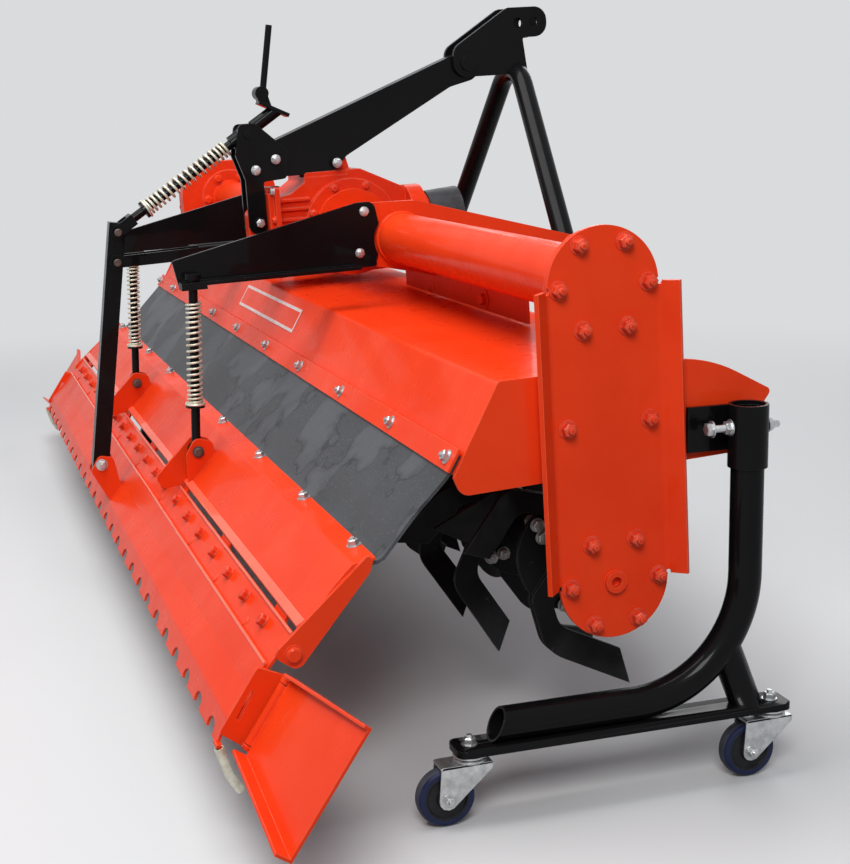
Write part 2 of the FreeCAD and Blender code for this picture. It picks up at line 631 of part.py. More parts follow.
def tailgate():
    """The folded upper rear panel with its cheeks, rod clevises and hinge knuckles."""
    rows = [GATE_TOP + (0.0,), GATE_STRIP + (10.0,), GATE_FOLD + (10.0,), GATE_LOW + (0.0,)]
    inner = GATE_HALF - CHEEK_T
    panel = folded(rows, PANEL_T, -inner, inner)
    cheek_rows = [(-426.0, 83.0, 6.0), (-419.0, 102.0, 6.0), (-426.0, 113.0, 6.0),
                  (-597.0, -30.0, 12.0), (-556.0, -62.0, 16.0)]
    cheeks = [side_plate(cheek_rows, x, x + CHEEK_T) for x in (inner, -GATE_HALF)]
    short_rows = [(-480.0, 70.0, 0.0), (-484.0, 100.0, 14.0), (-522.0, 112.0, 18.0),
                  (-545.0, 74.0, 18.0), (-546.0, 4.0, 0.0)]
    long_rows = [(-480.0, 70.0, 0.0), (-484.0, 100.0, 14.0), (-522.0, 112.0, 18.0),
                 (-612.0, 26.0, 15.0), (-598.0, -2.0, 12.0), (-546.0, 4.0, 0.0)]
    gap = ROD_R + 3.0
    lugs = []
    for rows, x in ((short_rows, ROD_X + gap), (long_rows, ROD_X - gap - LUG_T)):
        lug = side_plate(rows, x, x + LUG_T)
        lugs += [lug, mirrored(lug)]
    knuckles = []
    for x in knuckle_places():
        ring = pin(BOARD_PIVOT, x - 40.0, x + 40.0, HINGE_ROD_R + 5.0)
        web = side_plate([(BOARD_PIVOT[0] - 4.0, BOARD_PIVOT[1] + 8.0, 0.0),
                          (GATE_LOW[0] + 0.0, GATE_LOW[1] - 4.0, 0.0),
                          (GATE_LOW[0] + 8.0, GATE_LOW[1] + 2.0, 0.0),
                          (BOARD_PIVOT[0] + 6.0, BOARD_PIVOT[1] + 6.0, 0.0)], x - 36.0, x + 36.0)
        knuckles += [ring, web]
    shape = merged([panel] + cheeks + lugs + knuckles)
    span = GATE_HALF + 1
    cuts = [pin(ROD_PIVOT, -span, span, PIN_R + SHAFT_GAP),
            pin(BOARD_PIVOT, -span, span, HINGE_ROD_R + SHAFT_GAP)]
    return shape.cut(cuts)


def apron():
    """The rubber sheet from the hood batten down to the tailgate strip."""
    a, b = HOOD_REAR, CREASE
    normal = toward((0, 0), (-(b[1] - a[1]), b[0] - a[0]), 1.0)
    top = toward(a, b, BATTEN_W - 4.0)
    low = APRON_GAP
    under = PANEL_T + APRON_GAP + APRON_T
    rows = [(p[0] + normal[0] * low, p[1] + normal[1] * low, r) for p, r in ((top, 0.0), (a, 12.0))]
    rows += [(GATE_TOP[0] + 12.0, GATE_TOP[1] + 2.0 - under, 12.0),
             (GATE_STRIP[0] + 10.0, GATE_STRIP[1] + 1.5 - under, 0.0)]
    return folded(rows[::-1], APRON_T, -HOOD_HALF + 4, HOOD_HALF - 4)


def leveller_board():
    """The toothed rear board with its hinge rod, end plates, wing hinges and post clevis."""
    rows = [BOARD_TOP + (0.0,), BOARD_FOLD + (12.0,), BOARD_LOW + (12.0,), BOARD_EDGE + (0.0,)]
    board = folded(rows, PANEL_T, -BOARD_HALF, BOARD_HALF)
    count = int(2 * (BOARD_HALF - 40.0) / TOOTH_PITCH)
    start = -count * TOOTH_PITCH / 2
    lean = Vector(0, BOARD_EDGE[0] - BOARD_LOW[0], BOARD_EDGE[1] - BOARD_LOW[1]).normalize()
    normal = Vector(0, -lean.z, lean.y)
    notches = []
    for i in range(count + 1):
        centre = Vector(start + i * TOOTH_PITCH, BOARD_EDGE[0], BOARD_EDGE[1]) - lean * 5.0 - normal * 20
        notches.append(Part.makeCylinder(TOOTH_NOTCH_R, 40.0, centre, normal))
    board = board.cut(notches)
    parts = [board, pin(BOARD_PIVOT, -GATE_HALF - 1.0, GATE_HALF + 1.0, HINGE_ROD_R)]
    places = knuckle_places()
    eye_rows = [(BOARD_PIVOT[0] + 12.0, BOARD_PIVOT[1] + 2.0, 5.0),
                (BOARD_PIVOT[0] - 2.0, BOARD_PIVOT[1] - 12.0, 8.0),
                (BOARD_FOLD[0] + 14.0, BOARD_FOLD[1] + 6.0, 0.0),
                (BOARD_TOP[0] - 10.0, BOARD_TOP[1] - 14.0, 0.0)]
    for x in places[:-1]:
        middle = x + (places[1] - places[0]) / 2
        parts.append(side_plate(eye_rows, middle - 5.0, middle + 5.0))
    foot_rows = [(-640.0, -92.0, 0.0), (-655.0, -12.0, 8.0), (-690.0, -4.0, 14.0),
                 (-712.0, -40.0, 16.0), (-688.0, -142.0, 0.0)]
    half = POST_SIDE / 2 + 1.0
    parts += [side_plate(foot_rows, x, x + 8.0) for x in (half, -half - 8.0)]
    end_rows = [(-576.0, -63.0, 5.0), (-623.0, -40.0, 5.0), (-694.0, -138.0, 5.0),
                (-655.0, -170.0, 5.0)]
    slot_rows = [(-633.0, -79.0, 0.0), (-638.0, -76.0, 0.0), (-665.0, -119.0, 0.0),
                 (-660.0, -122.0, 0.0)]
    for side in (1, -1):
        end = side_plate(end_rows, *BOARD_END_X)
        end = end.cut(side_plate(slot_rows, BOARD_END_X[0] - 1, BOARD_END_X[1] + 1))
        x0 = BOARD_HALF - 3.0
        block = side_plate([(-612.0, -58.0, 0.0), (-688.0, -141.0, 0.0), (-682.0, -146.0, 0.0),
                            (-606.0, -63.0, 0.0)], x0, BOARD_END_X[0] + 1.0)
        up = (WING_HEAD - WING_ROOT).normalize()
        spindle = bar(tuple(WING_ROOT - up * 16.0), tuple(WING_HEAD + up * 16.0), 5.0)
        ears = []
        for centre in (WING_ROOT - up * 12.0, WING_HEAD + up * 12.0):
            ears.append(bar(tuple(centre - up * 4.0), tuple(centre + up * 4.0), 10.0))
            ears.append(bar((BOARD_END_X[0] + 1.0, centre.y, centre.z), tuple(centre), 3.5))
        piece = [end, block, spindle] + ears
        parts += piece if side > 0 else [mirrored(p) for p in piece]
    shape = merged(parts)
    return shape.cut(pin(POST_FOOT, -60, 60, PIN_R + SHAFT_GAP))


WING_ROOT = Vector(GATE_HALF + WING_HINGE_OUT, -646.0, -155.1)
WING_HEAD = Vector(GATE_HALF + WING_HINGE_OUT, -588.2, -76.7)


def wing(side):
    """The side extension of the board, a flanged sheet hinged on the board's end."""
    up = (WING_HEAD - WING_ROOT).normalize()
    sweep = math.radians(WING_SWEEP)
    out = Vector(math.cos(sweep), math.sin(sweep), 0)
    back = out.cross(up).normalize()
    low_inner = WING_ROOT + out * 11.0 - up * 26.0
    high_inner = low_inner + up * WING_INNER
    low_outer = low_inner + out * WING_SPAN - up * WING_DROP
    high_outer = low_outer + up * WING_OUTER

    def sheet(points, thick):
        wire = Part.makePolygon([tuple(p) for p in points + points[:1]])
        return Part.Face(wire).extrude(thick)
    web = sheet([low_inner, high_inner, high_outer, low_outer], back * -PANEL_T)
    lip_in, lip_out = WING_TOP_LIP
    top = sheet([high_inner, high_inner + back * lip_in, high_outer + back * lip_out, high_outer],
                up * -PANEL_T)
    low = sheet([low_inner, low_inner + back * WING_LOW_LIP, low_outer + back * WING_LOW_LIP,
                 low_outer], up * PANEL_T)
    low_tab, high_tab = WING_ROOT - up * 6.0, WING_HEAD + up * 6.0
    tab = sheet([low_tab, high_tab, high_tab + out * 13.0, low_tab + out * 13.0], back * -PANEL_T)
    knuckle = bar(tuple(low_tab), tuple(high_tab), 9.0)
    shape = merged([web, top, low, tab, knuckle])
    shape = shape.cut(bar(tuple(low_tab - up * 20.0), tuple(high_tab + up * 20.0), 5.0 + SHAFT_GAP))
    return shape if side > 0 else mirrored(shape)


# Rods, post and links
def rod_frame():
    lean = Vector(0, ROD_GUIDE[0] - ROD_PIVOT[0], ROD_GUIDE[1] - ROD_PIVOT[1])
    return Vector(ROD_X, ROD_PIVOT[0], ROD_PIVOT[1]), lean.normalize()


def spring_rod(side):
    """The rod with its eye, cross pin, washer and head stop."""
    foot, lean = rod_frame()
    stop = (Vector(ROD_X, ROD_GUIDE[0], ROD_GUIDE[1]) - foot).Length + 8.0
    rod = bar(tuple(foot), tuple(foot + lean * (stop + 12.0)), ROD_R)
    eye = pin(ROD_PIVOT, ROD_X - ROD_R - 2.0, ROD_X + ROD_R + 2.0, 18.0)
    washer = bar(tuple(foot + lean * 96.0), tuple(foot + lean * 103.0), 21.0)
    head = bar(tuple(foot + lean * stop), tuple(foot + lean * (stop + 12.0)), ROD_HEAD_R)
    side_run = ROD_R + 3.0 + LUG_T
    bolt = pin(ROD_PIVOT, ROD_X - side_run - 6.0, ROD_X + side_run + 6.0, PIN_R)
    shape = merged([rod, eye, washer, head, bolt])
    return shape if side > 0 else mirrored(shape)


def rod_spring(side):
    """The space that the coil spring fills round the rod."""
    foot, lean = rod_frame()
    low, high = foot + lean * 103.5, foot + lean * 356.0
    sleeve = bar(tuple(low), tuple(high), SPRING_R)
    sleeve = sleeve.cut(bar(tuple(low - lean), tuple(high + lean), ROD_R + 0.4))
    return sleeve if side > 0 else mirrored(sleeve)


def post():
    """The square post that holds the board's angle, with the pins of its two links."""
    top = toward(POST_FOOT, POST_SCREW, math.dist(POST_FOOT, POST_SCREW) + 22.0)
    lean = math.degrees(math.atan2(top[1] - POST_FOOT[1], top[0] - POST_FOOT[0]))
    length = math.dist(POST_FOOT, top)
    w = POST_SIDE / 2
    body = box((-w, w), (-18.0, length), (-w, w))
    body.Placement = Placement(Vector(0, POST_FOOT[0], POST_FOOT[1]), Rotation(Vector(1, 0, 0), lean))
    foot_bolt = pin(POST_FOOT, -w - 20.0, w + 20.0, PIN_R)
    pins = [pin(place, -w - 20.0, w + 20.0, PIN_R) for place in (POST_LINK, POST_SCREW)]
    return merged([body, foot_bolt] + pins)


def lower_link():
    """The fork from the gearbox lug back to the post."""
    near = POST_SIDE / 2 + 1.5
    parts = []
    for x0 in (near, -near - LUG_T):
        parts.append(pin(POST_LINK, x0, x0 + LUG_T, LINK_R + 4))
        parts.append(pin(LINK_ROOT, x0, x0 + LUG_T, LINK_R))
        span = [(POST_LINK[0], POST_LINK[1] - 14.0, 0.0), (LINK_ROOT[0], LINK_ROOT[1] - 14.0, 0.0),
                (LINK_ROOT[0], LINK_ROOT[1] + 14.0, 0.0), (POST_LINK[0], POST_LINK[1] + 14.0, 0.0)]
        parts.append(side_plate(span, x0, x0 + LUG_T))
    parts.append(bar((0, -400.0, 476.5), (0, -300.0, 476.5), LINK_R))
    parts.append(box((-near, near), (-410.0, -392.0), (462.0, 490.0)))
    parts.append(box((-near, near), (-308.0, -290.0), (462.0, 490.0)))
    parts.append(pin(LINK_ROOT, -near - LUG_T - 6.0, near + LUG_T + 6.0, PIN_R))
    return merged(parts).cut(pin(POST_LINK, -60, 60, PIN_R + OPEN_PIN_GAP))


def screw_frame():
    lean = Vector(0, SCREW_ROOT[0] - POST_SCREW[0], SCREW_ROOT[1] - POST_SCREW[1]).normalize()
    return Vector(0, *POST_SCREW), Vector(0, *SCREW_ROOT), lean


def trunnion():
    """The pivoting block that the adjuster's screw slides through."""
    post_end, root, lean = screw_frame()
    half = BRACKET_GAP / 2
    block = pin(SCREW_ROOT, -half + 1, half - 1, 21.0)
    ends = pin(SCREW_ROOT, -half - BRACKET_T - 6, half + BRACKET_T + 6, PIN_R)
    seat = bar(tuple(root - lean * 40.0), tuple(root), 19.0)
    bore = bar(tuple(root - lean * 60.0), tuple(root + lean * 60.0), SCREW_R + SHAFT_GAP)
    return merged([block, ends, seat]).cut(bore)


CRANK_PLATE = ((-137.5, 784.6), (-210.5, 820.9))
CRANK_HUB = (-200.0, 846.0)


def crank_plate():
    """The flat bar across the end of the adjuster, which carries the crank's hub."""
    (y0, z0), (y1, z1) = CRANK_PLATE
    return folded([(y1, z1, 0.0), (y0, z0, 0.0)], 9.0, -20.0, 20.0)


def adjuster():
    """The screw with its fork, spring collar and crank tube."""
    post_end, root, lean = screw_frame()
    screw = bar(tuple(post_end + lean * 46.0), tuple(root + lean * 60.0), SCREW_R)
    collar = bar(tuple(post_end + lean * 84.0), tuple(post_end + lean * 92.0), 22.0)
    sleeve = bar(tuple(root + lean * 28.0), tuple(root + lean * 110.0), 17.0)
    (y0, z0), (y1, z1) = CRANK_PLATE
    above = side_plate([(y1 - 40, z1 + 19.9, 0), (y0 + 60, z0 - 29.8, 0), (y0 + 160, z0 + 170.2, 0),
                        (y1 + 60, z1 + 219.9, 0)], -60, 60)
    sleeve = sleeve.cut([above, crank_plate()])
    near = POST_SIDE / 2 + 1.5
    turn = Rotation(Vector(1, 0, 0), math.degrees(math.atan2(lean.z, lean.y)))
    fork = []
    for x0 in (near, -near - 6.0):
        cheek = box((x0, x0 + 6.0), (0.0, 52.0), (-14.0, 14.0))
        cheek.Placement = Placement(post_end, turn)
        fork += [cheek, pin(POST_SCREW, x0, x0 + 6.0, 18.0)]
    yoke = box((-near - 6.0, near + 6.0), (40.0, 52.0), (-14.0, 14.0))
    yoke.Placement = Placement(post_end, turn)
    shape = merged([screw, collar, sleeve, yoke] + fork)
    return shape.cut(pin(POST_SCREW, -60, 60, PIN_R + OPEN_PIN_GAP))


def adjuster_spring():
    """The space that the adjuster's coil spring fills."""
    post_end, root, lean = screw_frame()
    low, high = post_end + lean * 92.5, root - lean * 40.5
    sleeve = bar(tuple(low), tuple(high), 21.0)
    return sleeve.cut(bar(tuple(low - lean), tuple(high + lean), SCREW_R + 0.4))


def crank():
    """The cranked hand lever in its hub above the adjuster."""
    neck = side_plate([(-207.0, 824.0, 0.0), (CRANK_HUB[0] - 16.0, CRANK_HUB[1], 8.0),
                       (CRANK_HUB[0] + 14.0, CRANK_HUB[1], 8.0), (-175.0, 808.0, 0.0)], -13.0, 13.0)
    hub = pin(CRANK_HUB, -20.0, 20.0, 17.0)
    handle = bar((0, CRANK_HUB[0] + 6.0, CRANK_HUB[1]), (0, -164.4, 1008.0), 8.0)
    return merged([crank_plate(), neck, hub, handle])


# Stands and casters, drawn level with the floor under the pitched machine
FLOOR = -ROTOR_HEIGHT
BAR_LOW = FLOOR + 2 * WHEEL_R + 22.0


def stand_bracket(side):
    """The plate and sleeve that take the stand's tube."""
    x1 = HALF_SPAN
    sleeve = bar((STAND_X, STAND_Y, SLEEVE_Z[0]), (STAND_X, STAND_Y, SLEEVE_Z[1]), SLEEVE_R)
    plate = box((x1, x1 + 8.0), (STAND_Y - 96.0, STAND_Y + 42.0), (212.0, 290.0))
    spacer = box((x1 - PLATE_T, x1), (STAND_Y - 68.0, STAND_Y + 37.0), (225.0, 280.0))
    shape = merged([plate, sleeve, spacer])
    bore = bar((STAND_X, STAND_Y, SLEEVE_Z[0] - 1), (STAND_X, STAND_Y, SLEEVE_Z[1] + 1), STAND_TUBE_R)
    shape = shape.cut(bore)
    if side > 0:
        return shape
    case = gear_case_left()
    case.rotate(Vector(0, 0, 0), Vector(1, 0, 0), PARK_PITCH)
    return mirrored(shape).cut(case)


def stand(side):
    """The bent tube on its flat bar, with the short front leg."""
    x = STAND_X
    bar_top = BAR_LOW + BAR_T
    rest = bar_top + STAND_TUBE_R
    points = [(x, STAND_Y, SLEEVE_Z[1] - 6.0), (x, STAND_Y, rest), (x, -246.0, rest)]
    tube = pipe(points, [0, 210.0, 0], STAND_TUBE_R, STAND_WALL)
    leg = bar((x, STAND_Y - 39.0, -121.0), (x, STAND_Y + 8.0, bar_top - 4.0), STAND_TUBE_R - 1.0)
    flat = box((x - BAR_W / 2, x + BAR_W / 2), (-BAR_HALF, BAR_HALF), (BAR_LOW, bar_top))
    leg = leg.cut(pipe(points, [0, 210.0, 0], STAND_TUBE_R - STAND_WALL))
    shape = merged([tube, leg, flat])
    holes = [bar((x, y, BAR_LOW - 1), (x, y, bar_top + 1), 8.0 + SHAFT_GAP) for y in (SWIVEL_Y, -SWIVEL_Y)]
    shape = shape.cut(holes)
    return shape if side > 0 else mirrored(shape)


def caster_fork(side, end):
    """The swivel head, stem and pressed fork of one caster."""
    x, y = STAND_X, SWIVEL_Y * end
    top = BAR_LOW - 0.3
    axle = FLOOR + WHEEL_R
    crown = bar((x, y, top - 14.0), (x, y, top), 28.0)
    bar_top = BAR_LOW + BAR_T
    stem = bar((x, y, top - 4.0), (x, y, bar_top + 18.0), 8.0)
    nut = bar((x, y, bar_top + FACE_GAP), (x, y, bar_top + 13.0), 13.0)
    half = FORK_W / 2
    roof = side_fork_roof(x, y, top, half)
    cheeks = []
    for x0 in (x - half, x + half - FORK_T):
        rows = [(y + 26.0, top - 14.0, 4.0), (y - 34.0, top - 14.0, 6.0),
                (y - TRAIL - 12.0, axle - 6.0, 8.0), (y - TRAIL + 12.0, axle - 12.0, 8.0)]
        cheeks.append(side_plate(rows, x0, x0 + FORK_T))
    axle_bolt = bar((x - half - 5.0, y - TRAIL, axle), (x + half + 5.0, y - TRAIL, axle), AXLE_R)
    shape = merged([crown, stem, nut, roof, axle_bolt] + cheeks)
    return shape if side > 0 else mirrored(shape)


def side_fork_roof(x, y, top, half):
    return box((x - half, x + half), (y - 34.0, y + 26.0), (top - 17.0, top - 13.0))


def caster_wheel(side, end):
    """One wheel with its hub bore."""
    x, y = STAND_X, SWIVEL_Y * end - TRAIL
    axle = FLOOR + WHEEL_R
    rim = bar((x - WHEEL_T / 2, y, axle), (x + WHEEL_T / 2, y, axle), WHEEL_R)
    rim = rim.makeFillet(7.0, [e for e in rim.Edges if e.Length > 6 * WHEEL_R and e.Closed])
    hub = bar((x - FORK_W / 2 + FORK_T + 0.5, y, axle), (x + FORK_W / 2 - FORK_T - 0.5, y, axle), 14.0)
    shape = merged([rim, hub]).cut(bar((x - 40, y, axle), (x + 40, y, axle), AXLE_R + SHAFT_GAP))
    return shape if side > 0 else mirrored(shape)


# The two groups: pieces that pitch with the machine, and pieces level with the floor
MACHINE = {
    "side_plate_right": side_plate_right(),
    "gear_case_left": gear_case_left(),
    "hood": hood(),
    "hood_batten": hood_batten(),
    "gearbox": gearbox(),
    "pto_shaft": pto_shaft(),
    "pto_shield": pto_shield(),
    "hitch_beam": hitch_beam(),
    "hitch_cheeks": hitch_cheeks(),
    "hitch_seats": hitch_seats(),
    "hitch_arch": hitch_arch(),
    "mast": mast(),
    "strut": strut(),
    "strut_pins": strut_pins(),
    "rear_bracket": rear_bracket(),
    "rotor": rotor(),
    "tailgate": tailgate(),
    "apron": apron(),
    "leveller_board": leveller_board(),
    "post": post(),
    "lower_link": lower_link(),
    "trunnion": trunnion(),
    "adjuster": adjuster(),
    "adjuster_spring": adjuster_spring(),
    "crank": crank(),
}
LEVEL = {}
for name, side in (("right", 1), ("left", -1)):
    MACHINE["hood_end_" + name] = hood_end(side)
    MACHINE["bearing_" + name] = bearing(side)
    MACHINE["main_tube_" + name] = main_tube(side)
    MACHINE["hitch_bracket_" + name] = hitch_bracket(side)
    MACHINE["hood_rail_" + name] = hood_rail(side)
    MACHINE["spring_arm_" + name] = spring_arm(side)
    MACHINE["wing_" + name] = wing(side)
    MACHINE["spring_rod_" + name] = spring_rod(side)
    MACHINE["rod_spring_" + name] = rod_spring(side)
    LEVEL["stand_bracket_" + name] = stand_bracket(side)
    LEVEL["stand_" + name] = stand(side)
    for end_name, end in (("front", 1), ("rear", -1)):
        LEVEL["caster_fork_" + end_name + "_" + name] = caster_fork(side, end)
        LEVEL["caster_wheel_" + end_name + "_" + name] = caster_wheel(side, end)

# The machine is pitched about the rotor axis, and all is set on the floor
SHAPES = {}
for name, shape in MACHINE.items():
    turned = shape.copy()
    turned.rotate(Vector(0, 0, 0), Vector(1, 0, 0), PARK_PITCH)
    SHAPES[name] = turned
SHAPES.update(LEVEL)
BOUNDS = FreeCAD.BoundBox()
for shape in SHAPES.values():
    BOUNDS.add(shape.optimalBoundingBox(False, False))
SHIFT = Vector(-(BOUNDS.XMin + BOUNDS.XMax) / 2, -(BOUNDS.YMin + BOUNDS.YMax) / 2, -FLOOR)
for name, shape in SHAPES.items():
    shape.translate(SHIFT)
    shape.exportStep("parts/" + name + ".step")
print(len(SHAPES), "pieces", BOUNDS, "shift", SHIFT)
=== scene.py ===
# %% [markdown]
# A three metre rotary tiller, parked on its storage casters. Its solids come ready
# made, at their real size, so this file dresses them: paint, rubber, zinc, springs,
# bolts and welds. Every length here is in metres, X runs along the rotor to the
# right of travel, Y forward and Z up, and the floor is at Z = 0.

# %% Load the solids and measure them
import bmesh
import bpy
import json
import math
from mathutils import Matrix, Vector


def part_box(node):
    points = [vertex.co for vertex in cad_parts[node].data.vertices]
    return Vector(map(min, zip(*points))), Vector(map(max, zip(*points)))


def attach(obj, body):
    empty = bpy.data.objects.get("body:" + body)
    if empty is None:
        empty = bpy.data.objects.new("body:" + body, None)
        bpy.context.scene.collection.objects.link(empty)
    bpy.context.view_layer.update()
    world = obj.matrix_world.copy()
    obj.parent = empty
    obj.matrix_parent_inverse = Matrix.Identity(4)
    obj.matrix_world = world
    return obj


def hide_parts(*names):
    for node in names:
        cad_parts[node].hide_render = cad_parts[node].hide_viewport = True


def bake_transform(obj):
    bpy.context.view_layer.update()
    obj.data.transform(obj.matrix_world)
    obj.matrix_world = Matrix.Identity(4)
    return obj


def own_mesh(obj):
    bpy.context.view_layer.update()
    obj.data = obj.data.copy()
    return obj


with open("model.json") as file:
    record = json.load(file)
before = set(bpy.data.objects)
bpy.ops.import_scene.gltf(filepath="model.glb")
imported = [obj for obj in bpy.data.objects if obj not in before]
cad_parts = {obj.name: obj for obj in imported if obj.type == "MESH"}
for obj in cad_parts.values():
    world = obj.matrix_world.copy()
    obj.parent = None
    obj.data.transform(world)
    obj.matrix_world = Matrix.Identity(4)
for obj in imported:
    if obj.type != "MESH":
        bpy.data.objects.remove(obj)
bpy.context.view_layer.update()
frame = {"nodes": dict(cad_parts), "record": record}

NODES = frame["nodes"]

# %% [markdown]
# Most of the tiller is parked nose up by a few degrees, while its stands are level
# with the floor. The rotor axis is the natural origin of both. A matrix for each
# lets a bolt be placed by its side view on the machine's own drawing.

# %% Two places to draw in
low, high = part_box("bearing_right")
AXIS = Vector((0.0, (low[1] + high[1]) / 2, (low[2] + high[2]) / 2))
PARK_PITCH = math.radians(2.63)
LEVEL = Matrix.Translation(AXIS)
MACHINE = LEVEL @ Matrix.Rotation(PARK_PITCH, 4, "X")
print("rotor axis at", tuple(round(v, 4) for v in AXIS))

# %% [markdown]
# The camera stands low behind the right end of the machine, a little above its
# hood, and looks along it. A long object that shrinks this fast toward its far end
# was taken from close by, so the lens is a moderate one and the distance is short.

# %% Camera
FRAME_W, FRAME_H = 850, 864
lens = bpy.data.cameras.new("camera")
lens.sensor_width = 36.0
lens.sensor_fit = "HORIZONTAL"
lens.lens = 36.0 * 1551.9 / FRAME_W
camera = bpy.data.objects.new("camera", lens)
bpy.context.scene.collection.objects.link(camera)
right = Vector((0.3131, 0.9495, -0.0198))
ahead = Vector((-0.9311, 0.3029, -0.2033)).normalized()
right = (right - ahead * right.dot(ahead)).normalized()
up = right.cross(ahead)
turn = Matrix((right, up, -ahead)).transposed().to_4x4()
camera.matrix_world = Matrix.Translation(AXIS + Vector((3.8512, -1.0814, 0.7885))) @ turn
bpy.context.scene.camera = camera
print("camera at", tuple(round(v, 3) for v in camera.matrix_world.translation))

# %% [markdown]
# Outdoors under a bright, hazy sky everything is lit from above, with one broad
# soft highlight on the paint. A studio gives the same with a large lamp overhead,
# a smaller one from behind the camera and a pale world. The world looks pale to the
# camera and to gloss, but lights the machine with less than it shows.

# %% Floor, world and lamps
def node_of(tree, kind, inputs=None, **settings):
    """A node of that kind; an input takes a value or is joined to another node's socket."""
    node = tree.nodes.new(kind)
    for key, value in settings.items():
        setattr(node, key, value)
    for key, value in (inputs or {}).items():
        if isinstance(value, bpy.types.NodeSocket):
            tree.links.new(value, node.inputs[key])
        else:
            node.inputs[key].default_value = value
    return node


def pale_where_seen(tree, seen, unseen):
    """A colour shown to the camera and in gloss, and another that gives light."""
    path = node_of(tree, "ShaderNodeLightPath").outputs
    gloss = node_of(tree, "ShaderNodeMath", {0: path["Is Glossy Ray"],
                                             1: path["Is Transmission Ray"]}, operation="MAXIMUM")
    view = node_of(tree, "ShaderNodeMath", {0: gloss.outputs[0], 1: path["Is Camera Ray"]},
                   operation="MAXIMUM")
    return node_of(tree, "ShaderNodeMix", {0: view.outputs[0], 6: unseen, 7: seen},
                   data_type="RGBA").outputs[2]


SKY_SEEN, SKY_LIGHT = (0.70, 0.71, 0.72, 1), (0.30, 0.32, 0.35, 1)
world = bpy.data.worlds.new("studio")
bpy.context.scene.world = world
world.use_nodes = True
sky = world.node_tree
sky.links.new(pale_where_seen(sky, SKY_SEEN, SKY_LIGHT), sky.nodes["Background"].inputs["Color"])

floor_mesh = bpy.data.meshes.new("floor")
floor_mesh.from_pydata([(-30, -30, 0), (30, -30, 0), (30, 30, 0), (-30, 30, 0)], [],
                       [(0, 1, 2, 3)])
floor = bpy.data.objects.new("floor", floor_mesh)
bpy.context.scene.collection.objects.link(floor)
floor_paint = bpy.data.materials.new("floor_pale")
floor_paint.use_nodes = True
tree = floor_paint.node_tree
shader = tree.nodes["Principled BSDF"]
shader.inputs["Roughness"].default_value = 0.8
tree.links.new(pale_where_seen(tree, (0.60, 0.60, 0.60, 1), (0.24, 0.24, 0.24, 1)),
               shader.inputs["Base Color"])
place = node_of(tree, "ShaderNodeTexCoord").outputs["Object"]
away = node_of(tree, "ShaderNodeVectorMath", {0: place}, operation="LENGTH").outputs["Value"]
fade = node_of(tree, "ShaderNodeMapRange", {"Value": away, "From Min": 1.6, "From Max": 5.0},
               interpolation_type="SMOOTHSTEP").outputs[0]
far = node_of(tree, "ShaderNodeEmission", {"Color": pale_where_seen(tree, SKY_SEEN, SKY_LIGHT)})
both = node_of(tree, "ShaderNodeMixShader", {0: fade, 1: shader.outputs[0], 2: far.outputs[0]})
tree.links.new(both.outputs[0], tree.nodes["Material Output"].inputs["Surface"])
floor_mesh.materials.append(floor_paint)


def lamp(name, place, aim, size, watts):
    """A square area lamp that looks at a point."""
    data = bpy.data.lights.new(name, "AREA")
    data.size = size
    data.energy = watts
    made = bpy.data.objects.new(name, data)
    bpy.context.scene.collection.objects.link(made)
    made.location = place
    made.rotation_euler = (Vector(aim) - Vector(place)).to_track_quat("-Z", "Y").to_euler()


lamp("overhead", (0.3, -1.2, 4.4), (0, 0, 0.6), 3.3, 186)
lamp("behind_camera", (4.6, -1.4, 3.4), (0.6, 0, 0.6), 1.6, 120)
lamp("far_side", (-3.5, 2.5, 3.0), (0, 0, 0.6), 2.4, 50)
bpy.context.scene.view_settings.view_transform = "Standard"

# %% [markdown]
# Three effects return in most finishes, so each is a node group made once. Sheet
# metal never has a knife edge: a Bevel node turns the normal within a millimetre or
# two of an edge, and how far it turns marks the edge: the paints lighten it there as
# a painted highlight, and the blades show real wear there. Sprayed gloss has a fine
# ripple. And every surface is a little uneven in tone from dust and handling.

# %% Shader groups: soft edges, paint ripple and blotches
def shader_group(name, inputs, outputs):
    """An empty group with named number inputs, and named outputs of a kind."""
    group = bpy.data.node_groups.new(name, "ShaderNodeTree")
    for label, value in inputs.items():
        socket = group.interface.new_socket(name=label, in_out="INPUT",
                                            socket_type="NodeSocketFloat")
        socket.default_value = value
    for label, kind in outputs.items():
        group.interface.new_socket(name=label, in_out="OUTPUT", socket_type="NodeSocket" + kind)
    given = group.nodes.new("NodeGroupInput").outputs
    return group, given, group.nodes.new("NodeGroupOutput").inputs


def noise_of(tree, scale, detail=3.0, roughness=0.5):
    """Noise on the object's own coordinates."""
    place = node_of(tree, "ShaderNodeTexCoord").outputs["Object"]
    return node_of(tree, "ShaderNodeTexNoise", {"Vector": place, "Scale": scale, "Detail": detail,
                                                "Roughness": roughness}).outputs["Fac"]


def span_of(tree, value, low, high, out_low=0.0, out_high=1.0):
    """The value's range from low to high, stretched to another range and clamped."""
    return node_of(tree, "ShaderNodeMapRange", {"Value": value, "From Min": low, "From Max": high,
                                                "To Min": out_low, "To Max": out_high}).outputs[0]


